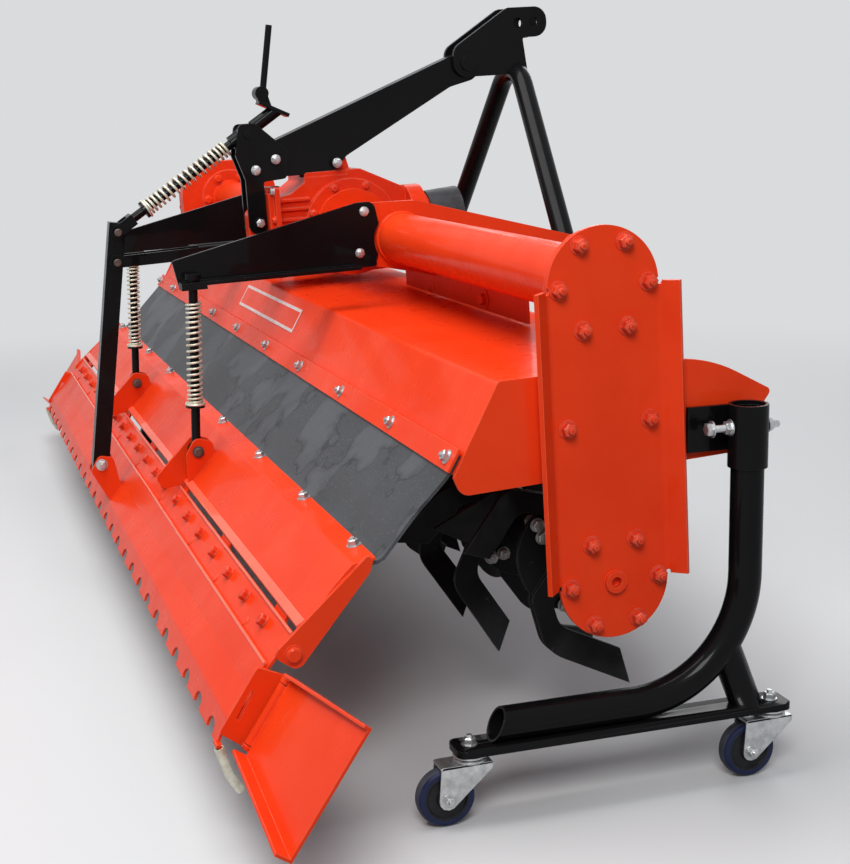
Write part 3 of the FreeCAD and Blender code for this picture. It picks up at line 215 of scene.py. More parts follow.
SOFT_EDGE, given, result = shader_group("soft_edge", {"Reach": 0.0015, "Patchiness": 40.0},
                                        {"Normal": "Vector", "Wear_and_Highlight": "Float"})
bevel = node_of(SOFT_EDGE, "ShaderNodeBevel", {"Radius": given["Reach"]}, samples=4)
flat = node_of(SOFT_EDGE, "ShaderNodeNewGeometry").outputs["Normal"]
turned = node_of(SOFT_EDGE, "ShaderNodeVectorMath", {0: bevel.outputs[0], 1: flat},
                 operation="DOT_PRODUCT").outputs["Value"]
edge = span_of(SOFT_EDGE, turned, 0.999, 0.9)
patch = span_of(SOFT_EDGE, noise_of(SOFT_EDGE, given["Patchiness"]), 0.3, 0.6, 0.35, 1.0)
# Edge mask in patches: the paints use it for a painted highlight, the blades for real wear.
edge_wear_and_highlight = node_of(SOFT_EDGE, "ShaderNodeMath", {0: edge, 1: patch}, operation="MULTIPLY")
SOFT_EDGE.links.new(bevel.outputs[0], result["Normal"])
SOFT_EDGE.links.new(edge_wear_and_highlight.outputs[0], result["Wear_and_Highlight"])

RIPPLE, given, result = shader_group("paint_ripple", {"Scale": 260.0, "Sag": 9.0},
                                     {"Height": "Float"})
fine = noise_of(RIPPLE, given["Scale"], 1.0)
broad = noise_of(RIPPLE, given["Sag"], 1.0)
both = node_of(RIPPLE, "ShaderNodeMix", {0: 0.75, 2: fine, 3: broad})
RIPPLE.links.new(both.outputs[0], result["Height"])

BLOTCH, given, result = shader_group("blotches", {"Scale": 6.0, "Low": 0.35, "High": 0.65},
                                     {"Mask": "Float"})
cloud = noise_of(BLOTCH, given["Scale"], 6.0, 0.6)
mask = node_of(BLOTCH, "ShaderNodeMapRange", {"Value": cloud, "From Min": given["Low"],
                                              "From Max": given["High"]})
BLOTCH.links.new(mask.outputs[0], result["Mask"])
print("groups:", [g.name for g in bpy.data.node_groups])

# %% [markdown]
# The big panels wear one coat of orange-red gloss. What makes it read as paint is
# the clear highlight on top of a colour that stays saturated: a Principled shader
# with a thin coat over a slightly rough base. The same builder gives the black
# enamel and the darker red of rough castings.

# %% Painted finishes
def group_node(tree, group, **values):
    """A shader group placed in a material, with its inputs set."""
    return node_of(tree, "ShaderNodeGroup", {k.replace("_", " "): v for k, v in values.items()},
                   node_tree=group).outputs


def finish(name, **constants):
    """A new material, its tree and its Principled shader with plain values set."""
    made = bpy.data.materials.new(name)
    made.use_nodes = True
    shader = made.node_tree.nodes["Principled BSDF"]
    for label, value in constants.items():
        shader.inputs[label.replace("_", " ")].default_value = value
    return made, made.node_tree, shader.inputs


def blend_colours(tree, mask, a, b):
    """Colour a where the mask is 0 and b where it is 1."""
    return node_of(tree, "ShaderNodeMix", {0: mask, 6: a, 7: b}, data_type="RGBA").outputs[2]


def bump(tree, height, normal, depth, strength=1.0):
    """A bump of that depth in metres on top of another normal."""
    return node_of(tree, "ShaderNodeBump", {"Height": height, "Normal": normal, "Distance": depth,
                                            "Strength": strength}).outputs[0]


def paint(name, colour, shade, edge_highlight_colour, gloss, ripple=0.0004, grain=260.0, reach=0.0015, coat=0.13):
    """Gloss enamel: two close tones, a painted highlight along edges, with a fine ripple."""
    made, tree, sockets = finish(name, Coat_Roughness=0.04, Specular_IOR_Level=0.04)
    soft = group_node(tree, SOFT_EDGE, Reach=reach)
    cloud = group_node(tree, BLOTCH, Scale=3.5)["Mask"]
    tone = blend_colours(tree, cloud, colour, shade)
    # Edges are blended toward a paler colour: a painted highlight, not wear.
    edge_highlight_mask = node_of(tree, "ShaderNodeMath", {0: soft["Wear_and_Highlight"], 1: 0.6}, operation="MULTIPLY")
    tree.links.new(blend_colours(tree, edge_highlight_mask.outputs[0], tone, edge_highlight_colour), sockets["Base Color"])
    haze = group_node(tree, BLOTCH, Scale=14.0, Low=0.3, High=0.7)["Mask"]
    tree.links.new(span_of(tree, haze, 0, 1, gloss, gloss + 0.12), sockets["Roughness"])
    tree.links.new(span_of(tree, haze, 0, 1, coat, coat * 0.7), sockets["Coat Weight"])
    height = group_node(tree, RIPPLE, Scale=grain)["Height"]
    tree.links.new(bump(tree, height, soft["Normal"], ripple), sockets["Normal"])
    return made


RED = paint("red_gloss", (0.80, 0.050, 0.009, 1), (0.74, 0.038, 0.006, 1), (0.94, 0.28, 0.17, 1),
            0.24, coat=0.11)
CAST_RED = paint("red_on_casting", (0.78, 0.046, 0.010, 1), (0.64, 0.030, 0.007, 1),
                 (0.9, 0.22, 0.14, 1), 0.3, ripple=0.0016, grain=120.0, reach=0.004)
BLACK = paint("black_enamel", (0.0035, 0.0035, 0.004, 1), (0.006, 0.006, 0.0065, 1),
              (0.05, 0.05, 0.054, 1), 0.18, ripple=0.0003, coat=0.15)
# A lighter, pinker red with more coat: a painted highlight for lips and seams that catch the sky.
HIGHLIGHT_RED = paint("red_painted_highlight", (0.88, 0.14, 0.075, 1), (0.84, 0.11, 0.055, 1),
                 (0.96, 0.34, 0.24, 1), 0.2, coat=0.5)
print("paints:", RED.name, CAST_RED.name, BLACK.name, HIGHLIGHT_RED.name)

# %% [markdown]
# Fasteners and the casters are zinc plated, which is a grey metal with cloudy
# patches; the springs have the yellowish kind. The tines were dipped in black and
# show bright scuffs. The apron is a sheet of black rubber, greyed by dust, on which
# water has dried and left rings: a narrow band of a slow noise draws such a line.

# %% Metal, rubber and plastic finishes
def plated(name, colour, shade, rough, metal=0.9):
    """Zinc plate: cloudy in tone and in how sharply it mirrors."""
    made, tree, sockets = finish(name, Metallic=metal)
    soft = group_node(tree, SOFT_EDGE, Reach=0.0008)
    cloud = group_node(tree, BLOTCH, Scale=60.0)["Mask"]
    tree.links.new(blend_colours(tree, cloud, colour, shade), sockets["Base Color"])
    tree.links.new(span_of(tree, cloud, 0, 1, rough, rough + 0.18), sockets["Roughness"])
    tree.links.new(bump(tree, noise_of(tree, 900.0, 1.0), soft["Normal"], 0.0001),
                   sockets["Normal"])
    return made


ZINC = plated("zinc_plate", (0.62, 0.63, 0.63, 1), (0.40, 0.41, 0.42, 1), 0.26)
SPRING_ZINC = plated("yellow_zinc_wire", (0.74, 0.72, 0.61, 1), (0.52, 0.49, 0.37, 1), 0.36, 0.6)
BOLT_STEEL = plated("grey_bolt_steel", (0.46, 0.45, 0.43, 1), (0.24, 0.23, 0.21, 1), 0.4)
DULL_STEEL = plated("browned_steel", (0.16, 0.12, 0.10, 1), (0.08, 0.06, 0.055, 1), 0.45)

TINE, tree, sockets = finish("blackened_blade", Specular_IOR_Level=0.16)
soft = group_node(tree, SOFT_EDGE, Reach=0.003, Patchiness=25.0)
scuff = group_node(tree, BLOTCH, Scale=28.0, Low=0.68, High=0.76)["Mask"]
bare = node_of(tree, "ShaderNodeMath", {0: scuff, 1: soft["Wear_and_Highlight"]}, operation="MAXIMUM").outputs[0]
bare = node_of(tree, "ShaderNodeMath", {0: bare, 1: 0.28}, operation="MULTIPLY").outputs[0]
tree.links.new(blend_colours(tree, bare, (0.0055, 0.0055, 0.006, 1), (0.20, 0.20, 0.19, 1)),
               sockets["Base Color"])
tree.links.new(bare, sockets["Metallic"])
tree.links.new(span_of(tree, noise_of(tree, 30.0), 0.3, 0.7, 0.4, 0.62), sockets["Roughness"])
tree.links.new(bump(tree, noise_of(tree, 150.0), soft["Normal"], 0.0005), sockets["Normal"])

RUBBER, tree, sockets = finish("dusty_rubber", Specular_IOR_Level=0.2)
cloud = group_node(tree, BLOTCH, Scale=5.0, Low=0.3, High=0.7)["Mask"]
slow = noise_of(tree, 6.0, 3.0, 0.5)
puddle = span_of(tree, slow, 0.51, 0.58, 0.0, 0.6)
off = node_of(tree, "ShaderNodeMath", {0: slow, 1: 0.512}, operation="SUBTRACT").outputs[0]
off = node_of(tree, "ShaderNodeMath", {0: off}, operation="ABSOLUTE").outputs[0]
ring = span_of(tree, off, 0.0, 0.011, 0.7, 0.0)
speck = span_of(tree, noise_of(tree, 220.0, 2.0), 0.62, 0.72)
dusty = blend_colours(tree, cloud, (0.038, 0.039, 0.042, 1), (0.070, 0.072, 0.078, 1))
dusty = blend_colours(tree, puddle, dusty, (0.092, 0.096, 0.105, 1))
dusty = blend_colours(tree, speck, dusty, (0.11, 0.11, 0.115, 1))
tree.links.new(blend_colours(tree, ring, dusty, (0.017, 0.017, 0.019, 1)), sockets["Base Color"])
tree.links.new(span_of(tree, cloud, 0, 1, 0.4, 0.6), sockets["Roughness"])
soft = group_node(tree, SOFT_EDGE, Reach=0.001)
tree.links.new(bump(tree, noise_of(tree, 500.0, 2.0), soft["Normal"], 0.0003), sockets["Normal"])


def moulded(name, colour, shade, low, high):
    """Moulded rubber or plastic: fine grain, scuffed paler in patches."""
    made, tree, sockets = finish(name, Specular_IOR_Level=0.25)
    soft = group_node(tree, SOFT_EDGE, Reach=0.0012)
    cloud = group_node(tree, BLOTCH, Scale=35.0)["Mask"]
    tree.links.new(blend_colours(tree, cloud, colour, shade), sockets["Base Color"])
    tree.links.new(span_of(tree, cloud, 0, 1, low, high), sockets["Roughness"])
    tree.links.new(bump(tree, noise_of(tree, 700.0, 1.0), soft["Normal"], 0.0002),
                   sockets["Normal"])
    return made


TYRE = moulded("tyre_tread", (0.030, 0.033, 0.046, 1), (0.062, 0.066, 0.082, 1), 0.5, 0.7)
TYRE_SIDE = moulded("tyre_side_navy", (0.007, 0.011, 0.042, 1), (0.013, 0.019, 0.062, 1),
                    0.3, 0.45)
HUB = moulded("black_hub", (0.006, 0.006, 0.007, 1), (0.014, 0.014, 0.016, 1), 0.35, 0.5)
GUARD = moulded("black_guard", (0.02, 0.02, 0.022, 1), (0.045, 0.045, 0.05, 1), 0.42, 0.6)
SIGN_WHITE = moulded("sign_edge", (0.74, 0.62, 0.60, 1), (0.62, 0.48, 0.46, 1), 0.4, 0.55)
print("finishes:", len(bpy.data.materials))

# %% [markdown]
# The solids already carry the record's slot names, so each one takes the finish of
# its slot. A few differ: the gearbox is a rough casting under the same red, and the
# big pin of the mast is black like the mast itself.

# %% Dress the solids
FINISH_OF = {"red_paint": RED, "black_paint": BLACK, "blade_steel": TINE, "zinc": ZINC,
             "spring_zinc": SPRING_ZINC, "apron_rubber": RUBBER, "guard_plastic": GUARD,
             "wheel_rubber": TYRE}
OTHER = {"gearbox": CAST_RED, "gear_case_left": CAST_RED, "strut_pins": BLACK}
for part in frame["record"]["subparts"]:
    solid = NODES[part["node"]]
    dress = OTHER.get(part["node"], FINISH_OF[part["material_slot"]])
    if not solid.material_slots:
        solid.data.materials.append(dress)
    for slot in solid.material_slots:
        slot.material = dress
print(len(NODES), "solids dressed")

# %% [markdown]
# Bolts, nuts, coils and welds return everywhere, so each is grown from a few points
# by a small tree of Geometry Nodes. A tree takes its sizes by name, runs once, and
# leaves a plain mesh. The hexagon here is a prism with a low crown on a washer; a
# nut also shows the stud's end. It is put on each point, faces along the point's
# "out" direction, is turned at random as a spanner leaves it, and is scaled by "size".

# %% Tools for grown pieces
def geometry_tree(name, inputs):
    """A tree with a mesh in, a mesh out and named inputs, which end in a finish."""
    tree = bpy.data.node_groups.new(name, "GeometryNodeTree")
    kinds = {int: "Int", float: "Float", bool: "Bool"}
    tree.interface.new_socket(name="Geometry", in_out="INPUT", socket_type="NodeSocketGeometry")
    for label, value in inputs.items():
        socket = tree.interface.new_socket(name=label, in_out="INPUT",
                                           socket_type="NodeSocket" + kinds[type(value)])
        socket.default_value = value
    tree.interface.new_socket(name="Finish", in_out="INPUT", socket_type="NodeSocketMaterial")
    tree.interface.new_socket(name="Geometry", in_out="OUTPUT", socket_type="NodeSocketGeometry")
    return tree, tree.nodes.new("NodeGroupInput").outputs


def end_tree(tree, shape, finish_socket):
    """Make the instances real and give them their material."""
    real = node_of(tree, "GeometryNodeRealizeInstances", {0: shape})
    dressed = node_of(tree, "GeometryNodeSetMaterial", {"Geometry": real.outputs[0],
                                                        "Material": finish_socket})
    tree.links.new(dressed.outputs[0], tree.nodes.new("NodeGroupOutput").inputs[0])


def mesh_object(name, points, edges=(), faces=(), material=None):
    """An object at the origin with its place in its mesh."""
    data = bpy.data.meshes.new(name)
    data.from_pydata([tuple(p) for p in points], list(edges), list(faces))
    if material:
        data.materials.append(material)
    made = bpy.data.objects.new(name, data)
    bpy.context.scene.collection.objects.link(made)
    return made


def settle(obj):
    """Run the object's modifiers once and keep the plain mesh."""
    bpy.context.view_layer.update()
    graph = bpy.context.evaluated_depsgraph_get()
    made = bpy.data.meshes.new_from_object(obj.evaluated_get(graph), depsgraph=graph)
    obj.modifiers.clear()
    old, obj.data = obj.data, made
    bpy.data.meshes.remove(old)
    made.name = obj.name
    return obj


def outwards(obj):
    """Turn every face of a closed mesh outward."""
    mesh = bmesh.new()
    mesh.from_mesh(obj.data)
    bmesh.ops.recalc_face_normals(mesh, faces=mesh.faces)
    mesh.to_mesh(obj.data)
    mesh.free()
    return obj


def drawn_out(name, body, outlines, dress, space=MACHINE):
    """Closed outlines in the side view, each drawn out between two X values."""
    points, faces = [], []
    for (x0, x1), outline in outlines:
        first, n = len(points), len(outline)
        points += [space @ Vector((x, y, z)) for x in (x0, x1) for y, z in outline]
        faces += [(first + i, first + (i + 1) % n, first + n + (i + 1) % n, first + n + i)
                  for i in range(n)]
        faces += [tuple(range(first, first + n)), tuple(range(first + n, first + 2 * n))]
    made = outwards(mesh_object(name, points, faces=faces, material=dress))
    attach(made, body)
    print(name, len(outlines), "strips")
    return made


def grown(obj, tree, finish_with, **values):
    """Set a tree's named inputs on an object, run it and keep the mesh."""
    modifier = obj.modifiers.new("grow", "NODES")
    values["Finish"] = finish_with
    modifier.node_group = tree
    for item in tree.interface.items_tree:
        if item.in_out == "INPUT" and item.name in values:
            modifier[item.identifier] = values[item.name]
    return settle(obj)


def moved(tree, shape, z):
    """A shape shifted along Z by a socket or a number."""
    lift = node_of(tree, "ShaderNodeCombineXYZ", {2: z})
    return node_of(tree, "GeometryNodeTransform", {"Geometry": shape,
                                                   "Translation": lift.outputs[0]}).outputs[0]


def cone(tree, sides, low, high, depth):
    """A cone's stump that stands on Z = 0."""
    return node_of(tree, "GeometryNodeMeshCone", {"Vertices": sides, "Radius Bottom": low,
                                                  "Radius Top": high, "Depth": depth}).outputs[0]


FASTENER, given = geometry_tree("fastener", {"Sides": 6, "Head": 0.75, "Washer": 1.35,
                                             "Stud": 0.0, "Seed": 3})
washer = cone(FASTENER, 18, given["Washer"], given["Washer"], 0.16)
head = moved(FASTENER, cone(FASTENER, given["Sides"], 1.0, 1.0, given["Head"]), 0.16)
crown_at = node_of(FASTENER, "ShaderNodeMath", {0: given["Head"], 1: 0.16}).outputs[0]
crown = moved(FASTENER, cone(FASTENER, given["Sides"], 1.0, 0.78, 0.14), crown_at)
stud = moved(FASTENER, cone(FASTENER, 12, 0.5, 0.42, given["Stud"]), crown_at)
whole = node_of(FASTENER, "GeometryNodeJoinGeometry")
for piece in (stud, crown, head, washer):
    FASTENER.links.new(piece, whole.inputs[0])
out = node_of(FASTENER, "GeometryNodeInputNamedAttribute", {"Name": "out"},
              data_type="FLOAT_VECTOR").outputs["Attribute"]
size = node_of(FASTENER, "GeometryNodeInputNamedAttribute", {"Name": "size"},
               data_type="FLOAT").outputs["Attribute"]
facing = node_of(FASTENER, "FunctionNodeAlignRotationToVector", {"Vector": out}, axis="Z")
chance = node_of(FASTENER, "FunctionNodeRandomValue", {"Seed": given["Seed"]}, data_type="FLOAT")
angle = node_of(FASTENER, "ShaderNodeMath", {0: chance.outputs[1], 1: math.tau},
                operation="MULTIPLY")
spin = node_of(FASTENER, "ShaderNodeCombineXYZ", {2: angle.outputs[0]})
spanner = node_of(FASTENER, "FunctionNodeRotateRotation", {"Rotation": facing.outputs[0],
                                                           "Rotate By": spin.outputs[0]},
                  rotation_space="LOCAL")
placed = node_of(FASTENER, "GeometryNodeInstanceOnPoints",
                 {"Points": given["Geometry"], "Instance": whole.outputs[0],
                  "Rotation": spanner.outputs[0], "Scale": size})
end_tree(FASTENER, placed.outputs[0], given["Finish"])


def fasteners(name, body, places, finish_with, **look):
    """One mesh of bolts or nuts: (space, point, direction, corner radius) each."""
    made = mesh_object(name, [space @ Vector(point) for space, point, _, _ in places])
    ways = [(space.to_3x3() @ Vector(way)).normalized() for space, _, way, _ in places]
    made.data.attributes.new("out", "FLOAT_VECTOR", "POINT").data.foreach_set(
        "vector", [number for way in ways for number in way])
    made.data.attributes.new("size", "FLOAT", "POINT").data.foreach_set(
        "value", [place[3] for place in places])
    grown(made, FASTENER, finish_with, **look)
    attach(made, body)
    print(name, len(places), "fasteners,", len(made.data.polygons), "faces")
    return made


def both_ends(places):
    """The same places on the other side of the machine as well."""
    return places + [(space, (-p[0], p[1], p[2]), (-w[0], w[1], w[2]), r)
                     for space, p, w, r in places]

# %% [markdown]
# The hood's rubber is pinched under a strip by a row of zinc bolts, and the gate's
# edge has the same. The toothed board is held by a long row of painted bolts, and
# plug welds below them show as shallow dimples. All come off two or three lines of
# the drawing, so they are written as rows of X values on a slope.

# %% Rows of bolts on the sheet metal
HOOD_OUT, GATE_OUT, BOARD_OUT = (0, -0.847, 0.532), (0, -0.152, 0.988), (0, -0.722, 0.691)
HOOD_BOLTS = (1.507, 1.194, 0.848, 0.501, 0.155, -0.191, -0.538, -0.884, -1.230, -1.507)
GATE_BOLTS = (1.453, 1.108, 0.726, 0.325, -0.06, -0.445, -0.842, -1.23, -1.453)


def on_slope(start, end, along, out, lift):
    """A (Y, Z) place a distance along a slope and a little off its face."""
    way = Vector((end[0] - start[0], end[1] - start[1])).normalized()
    return (start[0] + way.x * along + out[1] * lift, start[1] + way.y * along + out[2] * lift)


row = on_slope((-0.272, 0.220), (-0.184, 0.360), 0.0215, HOOD_OUT, 0.0118)
fasteners("hood_batten_bolts", "frame",
          [(MACHINE, (x, *row), HOOD_OUT, 0.0095) for x in HOOD_BOLTS], ZINC, Head=0.9,
          Stud=0.5)
row = on_slope((-0.413, 0.105), (-0.452, 0.099), 0.012, GATE_OUT, 0.0)
fasteners("gate_strip_bolts", "tailgate",
          [(MACHINE, (x, *row), GATE_OUT, 0.0095) for x in GATE_BOLTS], ZINC, Head=0.9,
          Stud=0.5, Seed=5)
row = on_slope((-0.561, -0.004), (-0.605, -0.050), 0.022, BOARD_OUT, 0.0)
fasteners("board_strip_bolts", "levelling_board",
          [(MACHINE, (1.405 - 0.1478 * k, *row), BOARD_OUT, 0.0105) for k in range(20)
           if abs(1.405 - 0.1478 * k) > 0.06], CAST_RED, Washer=1.12, Head=1.0, Seed=7)
row = on_slope((-0.561, -0.004), (-0.605, -0.050), 0.049, BOARD_OUT, -0.0006)
fasteners("board_plug_welds", "levelling_board",
          [(MACHINE, (x, *row), BOARD_OUT, 0.008) for x in (1.33, 1.06, 0.785, 0.39, 0.01, -0.35,
                                                            -0.72, -1.08, -1.38)],
          RED, Sides=16, Head=0.05, Washer=1.15)

# %% [markdown]
# On the right end plate, the main tube and the rotor bearing are each held by a ring
# of six bolts, and the plate carries the red nuts. The gearbox and the drive case
# on the left have rings of their own. A ring is a circle in the side view.

# %% Rings of bolts
TUBE_AXIS, ROTOR_AXIS = (0.0, 0.503), (0.0, 0.0)


def ring(x, centre, radius, count, first, way, size, space=MACHINE):
    """Places round a circle in the side view, from an angle in degrees."""
    turns = [math.radians(first + 360.0 * i / count) for i in range(count)]
    return [(space, (x, centre[0] + radius * math.cos(t), centre[1] + radius * math.sin(t)),
             (way, 0, 0), size) for t in turns]


side_nuts = (ring(1.55, TUBE_AXIS, 0.080, 6, 0, 1, 0.0125)
             + ring(1.55, ROTOR_AXIS, 0.081, 6, 0, 1, 0.0125)
             + [(MACHINE, (1.55, y, 0.2737), (1, 0, 0), 0.0125) for y in (-0.0745, 0.0745)])
fasteners("end_plate_nuts", "frame", side_nuts, CAST_RED, Head=1.0, Stud=0.75, Washer=1.3,
          Seed=11)
fasteners("tube_flange_bolts", "frame",
          ring(1.528, TUBE_AXIS, 0.080, 6, 0, -1, 0.0125)
          + ring(-1.5282, TUBE_AXIS, 0.080, 6, 0, 1, 0.0125), RED, Seed=13)
case_rim = [(-1.612, y, z) for y in (-0.153, 0.153) for z in (-0.02, 0.15, 0.32, 0.48)]
case_rim += [(-1.612, y, z) for y, z in ((-0.09, 0.609), (0.09, 0.609), (-0.09, -0.111),
                                         (0.09, -0.111), (0.0, 0.619), (0.0, -0.121))]
fasteners("case_rim_bolts", "frame", [(MACHINE, p, (-1, 0, 0), 0.0095) for p in case_rim],
          CAST_RED, Washer=1.5, Seed=17)
FLANGE_FACE, FLANGE_LOW, FLANGE_TOP = -0.202, 0.403, 0.607
flange_row = [(x, z) for x in (-0.124, -0.058, 0.008, 0.068) for z in (FLANGE_LOW, FLANGE_TOP)
              if x in (-0.058, 0.008) or z == FLANGE_LOW]
flange_row += [(x, TUBE_AXIS[1] + dz) for x in (-0.126, 0.070) for dz in (-0.035, 0.035)]
fasteners("gearbox_cover_bolts", "frame",
          ring(0.042, TUBE_AXIS, 0.108, 8, 22.5, 1, 0.0085)
          + ring(-0.166, TUBE_AXIS, 0.108, 8, 22.5, -1, 0.0085)
          + [(MACHINE, (x, FLANGE_FACE, z), (0, -1, 0), 0.008) for x, z in flange_row],
          CAST_RED, Washer=1.3, Seed=19)

# %% [markdown]
# Elsewhere single heads: zinc bolts clamp the strut and the spring arms, and each
# blade of the rotor is held on its flange by two bolts, pale from handling. Thirteen
# flanges carry three blades on either face.

# %% Single bolts and the rotor's bolts
fasteners("arm_root_bolts", "frame",
          both_ends([(MACHINE, (0.4587, -0.0856, 0.5714), (1, 0, 0), 0.0098),
                     (MACHINE, (0.4587, -0.1019, 0.4789), (1, 0, 0), 0.0098)]), ZINC,
          Washer=1.12, Stud=0.3)
fasteners("strut_bolts", "frame",
          both_ends([(MACHINE, (0.041, y, z), (1, 0, 0), 0.0108)
                     for y, z in ((-0.236, 0.662), (-0.184, 0.685), (-0.028, 0.665))]
                    + [(MACHINE, (0.033, -0.235, 0.532), (1, 0, 0), 0.0115)]),
          ZINC, Washer=1.12, Head=0.8, Stud=0.4, Seed=23)
fasteners("gearbox_zinc_bolts", "frame",
          [(MACHINE, (x, FLANGE_FACE, FLANGE_TOP), (0, -1, 0), 0.0085) for x in (0.068, -0.124)],
          ZINC, Washer=1.3, Seed=37)
fasteners("rail_bolts", "frame",
          both_ends([(MACHINE, (0.774, 0.0775, 0.390), (0, -1, 0), 0.0125)]), RED, Washer=1.7)
fasteners("cheek_bolts", "tailgate",
          both_ends([(MACHINE, (1.5485, -0.562, -0.032), (1, 0, 0), 0.0125)]), RED, Sides=16,
          Head=0.35, Washer=1.3)

fasteners("post_foot_bolts", "levelling_board",
          both_ends([(MACHINE, (0.029, -0.685, -0.027), (1, 0, 0), 0.0125)]), ZINC, Washer=1.2,
          Head=0.7, Stud=0.4, Seed=41)
fasteners("post_pin_heads", "post",
          both_ends([(MACHINE, (0.0395, y, z), (1, 0, 0), 0.0092)
                     for y, z in ((-0.595, 0.468), (-0.586, 0.540))]), DULL_STEEL, Sides=16,
          Washer=1.05, Head=0.3)
ROD_X, ROD_FOOT, ROD_TOP = 0.48, (-0.518, 0.081), (-0.490, 0.451)
for name, side, x in (("rod_pin_heads", "right", ROD_X), ("rod_pin_heads_left", "left", -ROD_X)):
    fasteners(name, "spring_rod_" + side,
              [(MACHINE, (x + w * 0.0262, *ROD_FOOT), (w, 0, 0), 0.0105) for w in (1, -1)],
              DULL_STEEL, Sides=16, Washer=1.25, Head=0.35)

FLANGES = [-1.365 + 0.2275 * i for i in range(13)]
TURNS = ((0.0, 0.0), (-40.0, 20.0), (-38.0, 22.0), (-78.0, -18.0))
blade_bolts = []
for i, x in enumerate(FLANGES):
    for way, more in zip((1, -1), TURNS[(12 - i) % 4]):
        for k in range(3):
            for reach, aside in ((0.072, 5), (0.094, -4)):
                t = math.radians(140.0 + more + 120.0 * k + aside)
                blade_bolts.append((MACHINE, (x + way * 0.012, reach * math.cos(t),
                                              reach * math.sin(t)), (way, 0, 0), 0.0115))
fasteners("rotor_bolts", "rotor", blade_bolts, BOLT_STEEL, Stud=0.35, Washer=1.15, Seed=29)

# %% [markdown]
# The coils are close wound at both ends and open between, which a plain helix is
# not. The tree bends the rise of a line as it goes round, so that it starts and
# ends flat, and then gives the line a round section.

# %% Coil springs
COIL, given = geometry_tree("coil", {"Radius": 0.015, "Wire": 0.0025, "Length": 0.25,
                                     "Turns": 17.0, "Closing": 0.4})
line = node_of(COIL, "GeometryNodeCurvePrimitiveLine")
line = node_of(COIL, "GeometryNodeResampleCurve", {"Curve": line.outputs[0], "Count": 520},
               mode="COUNT")
share = node_of(COIL, "GeometryNodeSplineParameter").outputs["Factor"]
eased = node_of(COIL, "ShaderNodeMapRange", {"Value": share}, interpolation_type="SMOOTHSTEP")
rise = node_of(COIL, "ShaderNodeMix", {0: given["Closing"], 2: share, 3: eased.outputs[0]})
rise = node_of(COIL, "ShaderNodeMath", {0: rise.outputs[0], 1: given["Length"]},
               operation="MULTIPLY")
angle = node_of(COIL, "ShaderNodeMath", {0: share, 1: given["Turns"]}, operation="MULTIPLY")
angle = node_of(COIL, "ShaderNodeMath", {0: angle.outputs[0], 1: math.tau}, operation="MULTIPLY")
legs = []
for trig in ("COSINE", "SINE"):
    wave = node_of(COIL, "ShaderNodeMath", {0: angle.outputs[0]}, operation=trig)
    legs.append(node_of(COIL, "ShaderNodeMath", {0: wave.outputs[0], 1: given["Radius"]},
                        operation="MULTIPLY").outputs[0])
spot = node_of(COIL, "ShaderNodeCombineXYZ", {0: legs[0], 1: legs[1], 2: rise.outputs[0]})
helix = node_of(COIL, "GeometryNodeSetPosition", {"Geometry": line.outputs[0],
                                                  "Position": spot.outputs[0]})
section = node_of(COIL, "GeometryNodeCurvePrimitiveCircle", {"Resolution": 8,
                                                             "Radius": given["Wire"]})
wire = node_of(COIL, "GeometryNodeCurveToMesh", {"Curve": helix.outputs[0],
                                                 "Profile Curve": section.outputs[0],
                                                 "Fill Caps": True})
smooth = node_of(COIL, "GeometryNodeSetShadeSmooth", {"Geometry": wire.outputs[0]})
end_tree(COIL, smooth.outputs[0], given["Finish"])


def spring(name, body, node, foot, top, low, high, outer, wire_r, turns):
    """A coil from foot to top, between two distances from the foot; it flattens downward."""
    foot, top = MACHINE @ Vector(foot), MACHINE @ Vector(top)
    way = (top - foot).normalized()
    length = high - low - 2 * wire_r
    made = mesh_object(name, [])
    grown(made, COIL, SPRING_ZINC, Radius=outer - wire_r, Wire=wire_r, Length=length,
          Turns=float(turns))
    start = foot + way * (low + wire_r)
    upright = way.to_track_quat("Z", "Y").to_matrix().to_4x4()
    made.data.transform(Matrix.Translation(start) @ upright)
    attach(made, body)
    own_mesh(made)
    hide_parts(node)
    print(name, len(made.data.polygons), "faces")


ROD_COIL_LOW, ADJUSTER_COIL_LOW = 0.1035, 0.0925
ADJUSTER_FOOT, ADJUSTER_TOP = (0, -0.586, 0.540), (0, -0.250, 0.750)
for side, x in (("right", ROD_X), ("left", -ROD_X)):
    spring("spring_coil_" + side, "spring_rod_" + side, "rod_spring_" + side, (x, *ROD_FOOT),
           (x, *ROD_TOP), ROD_COIL_LOW, 0.332, 0.0180, 0.0027, 20)
spring("adjuster_coil", "adjuster", "adjuster_spring", ADJUSTER_FOOT, ADJUSTER_TOP,
       ADJUSTER_COIL_LOW, math.dist(ADJUSTER_FOOT, ADJUSTER_TOP) - 0.0520, 0.0215, 0.0034, 18)

# %% [markdown]
# Weld beads, bent tubes and rings are all a round run along a path. One tree does
# them: it rounds the path's corners, gives it a section and, for a weld, roughens
# the surface the way a molten bead freezes in ripples.

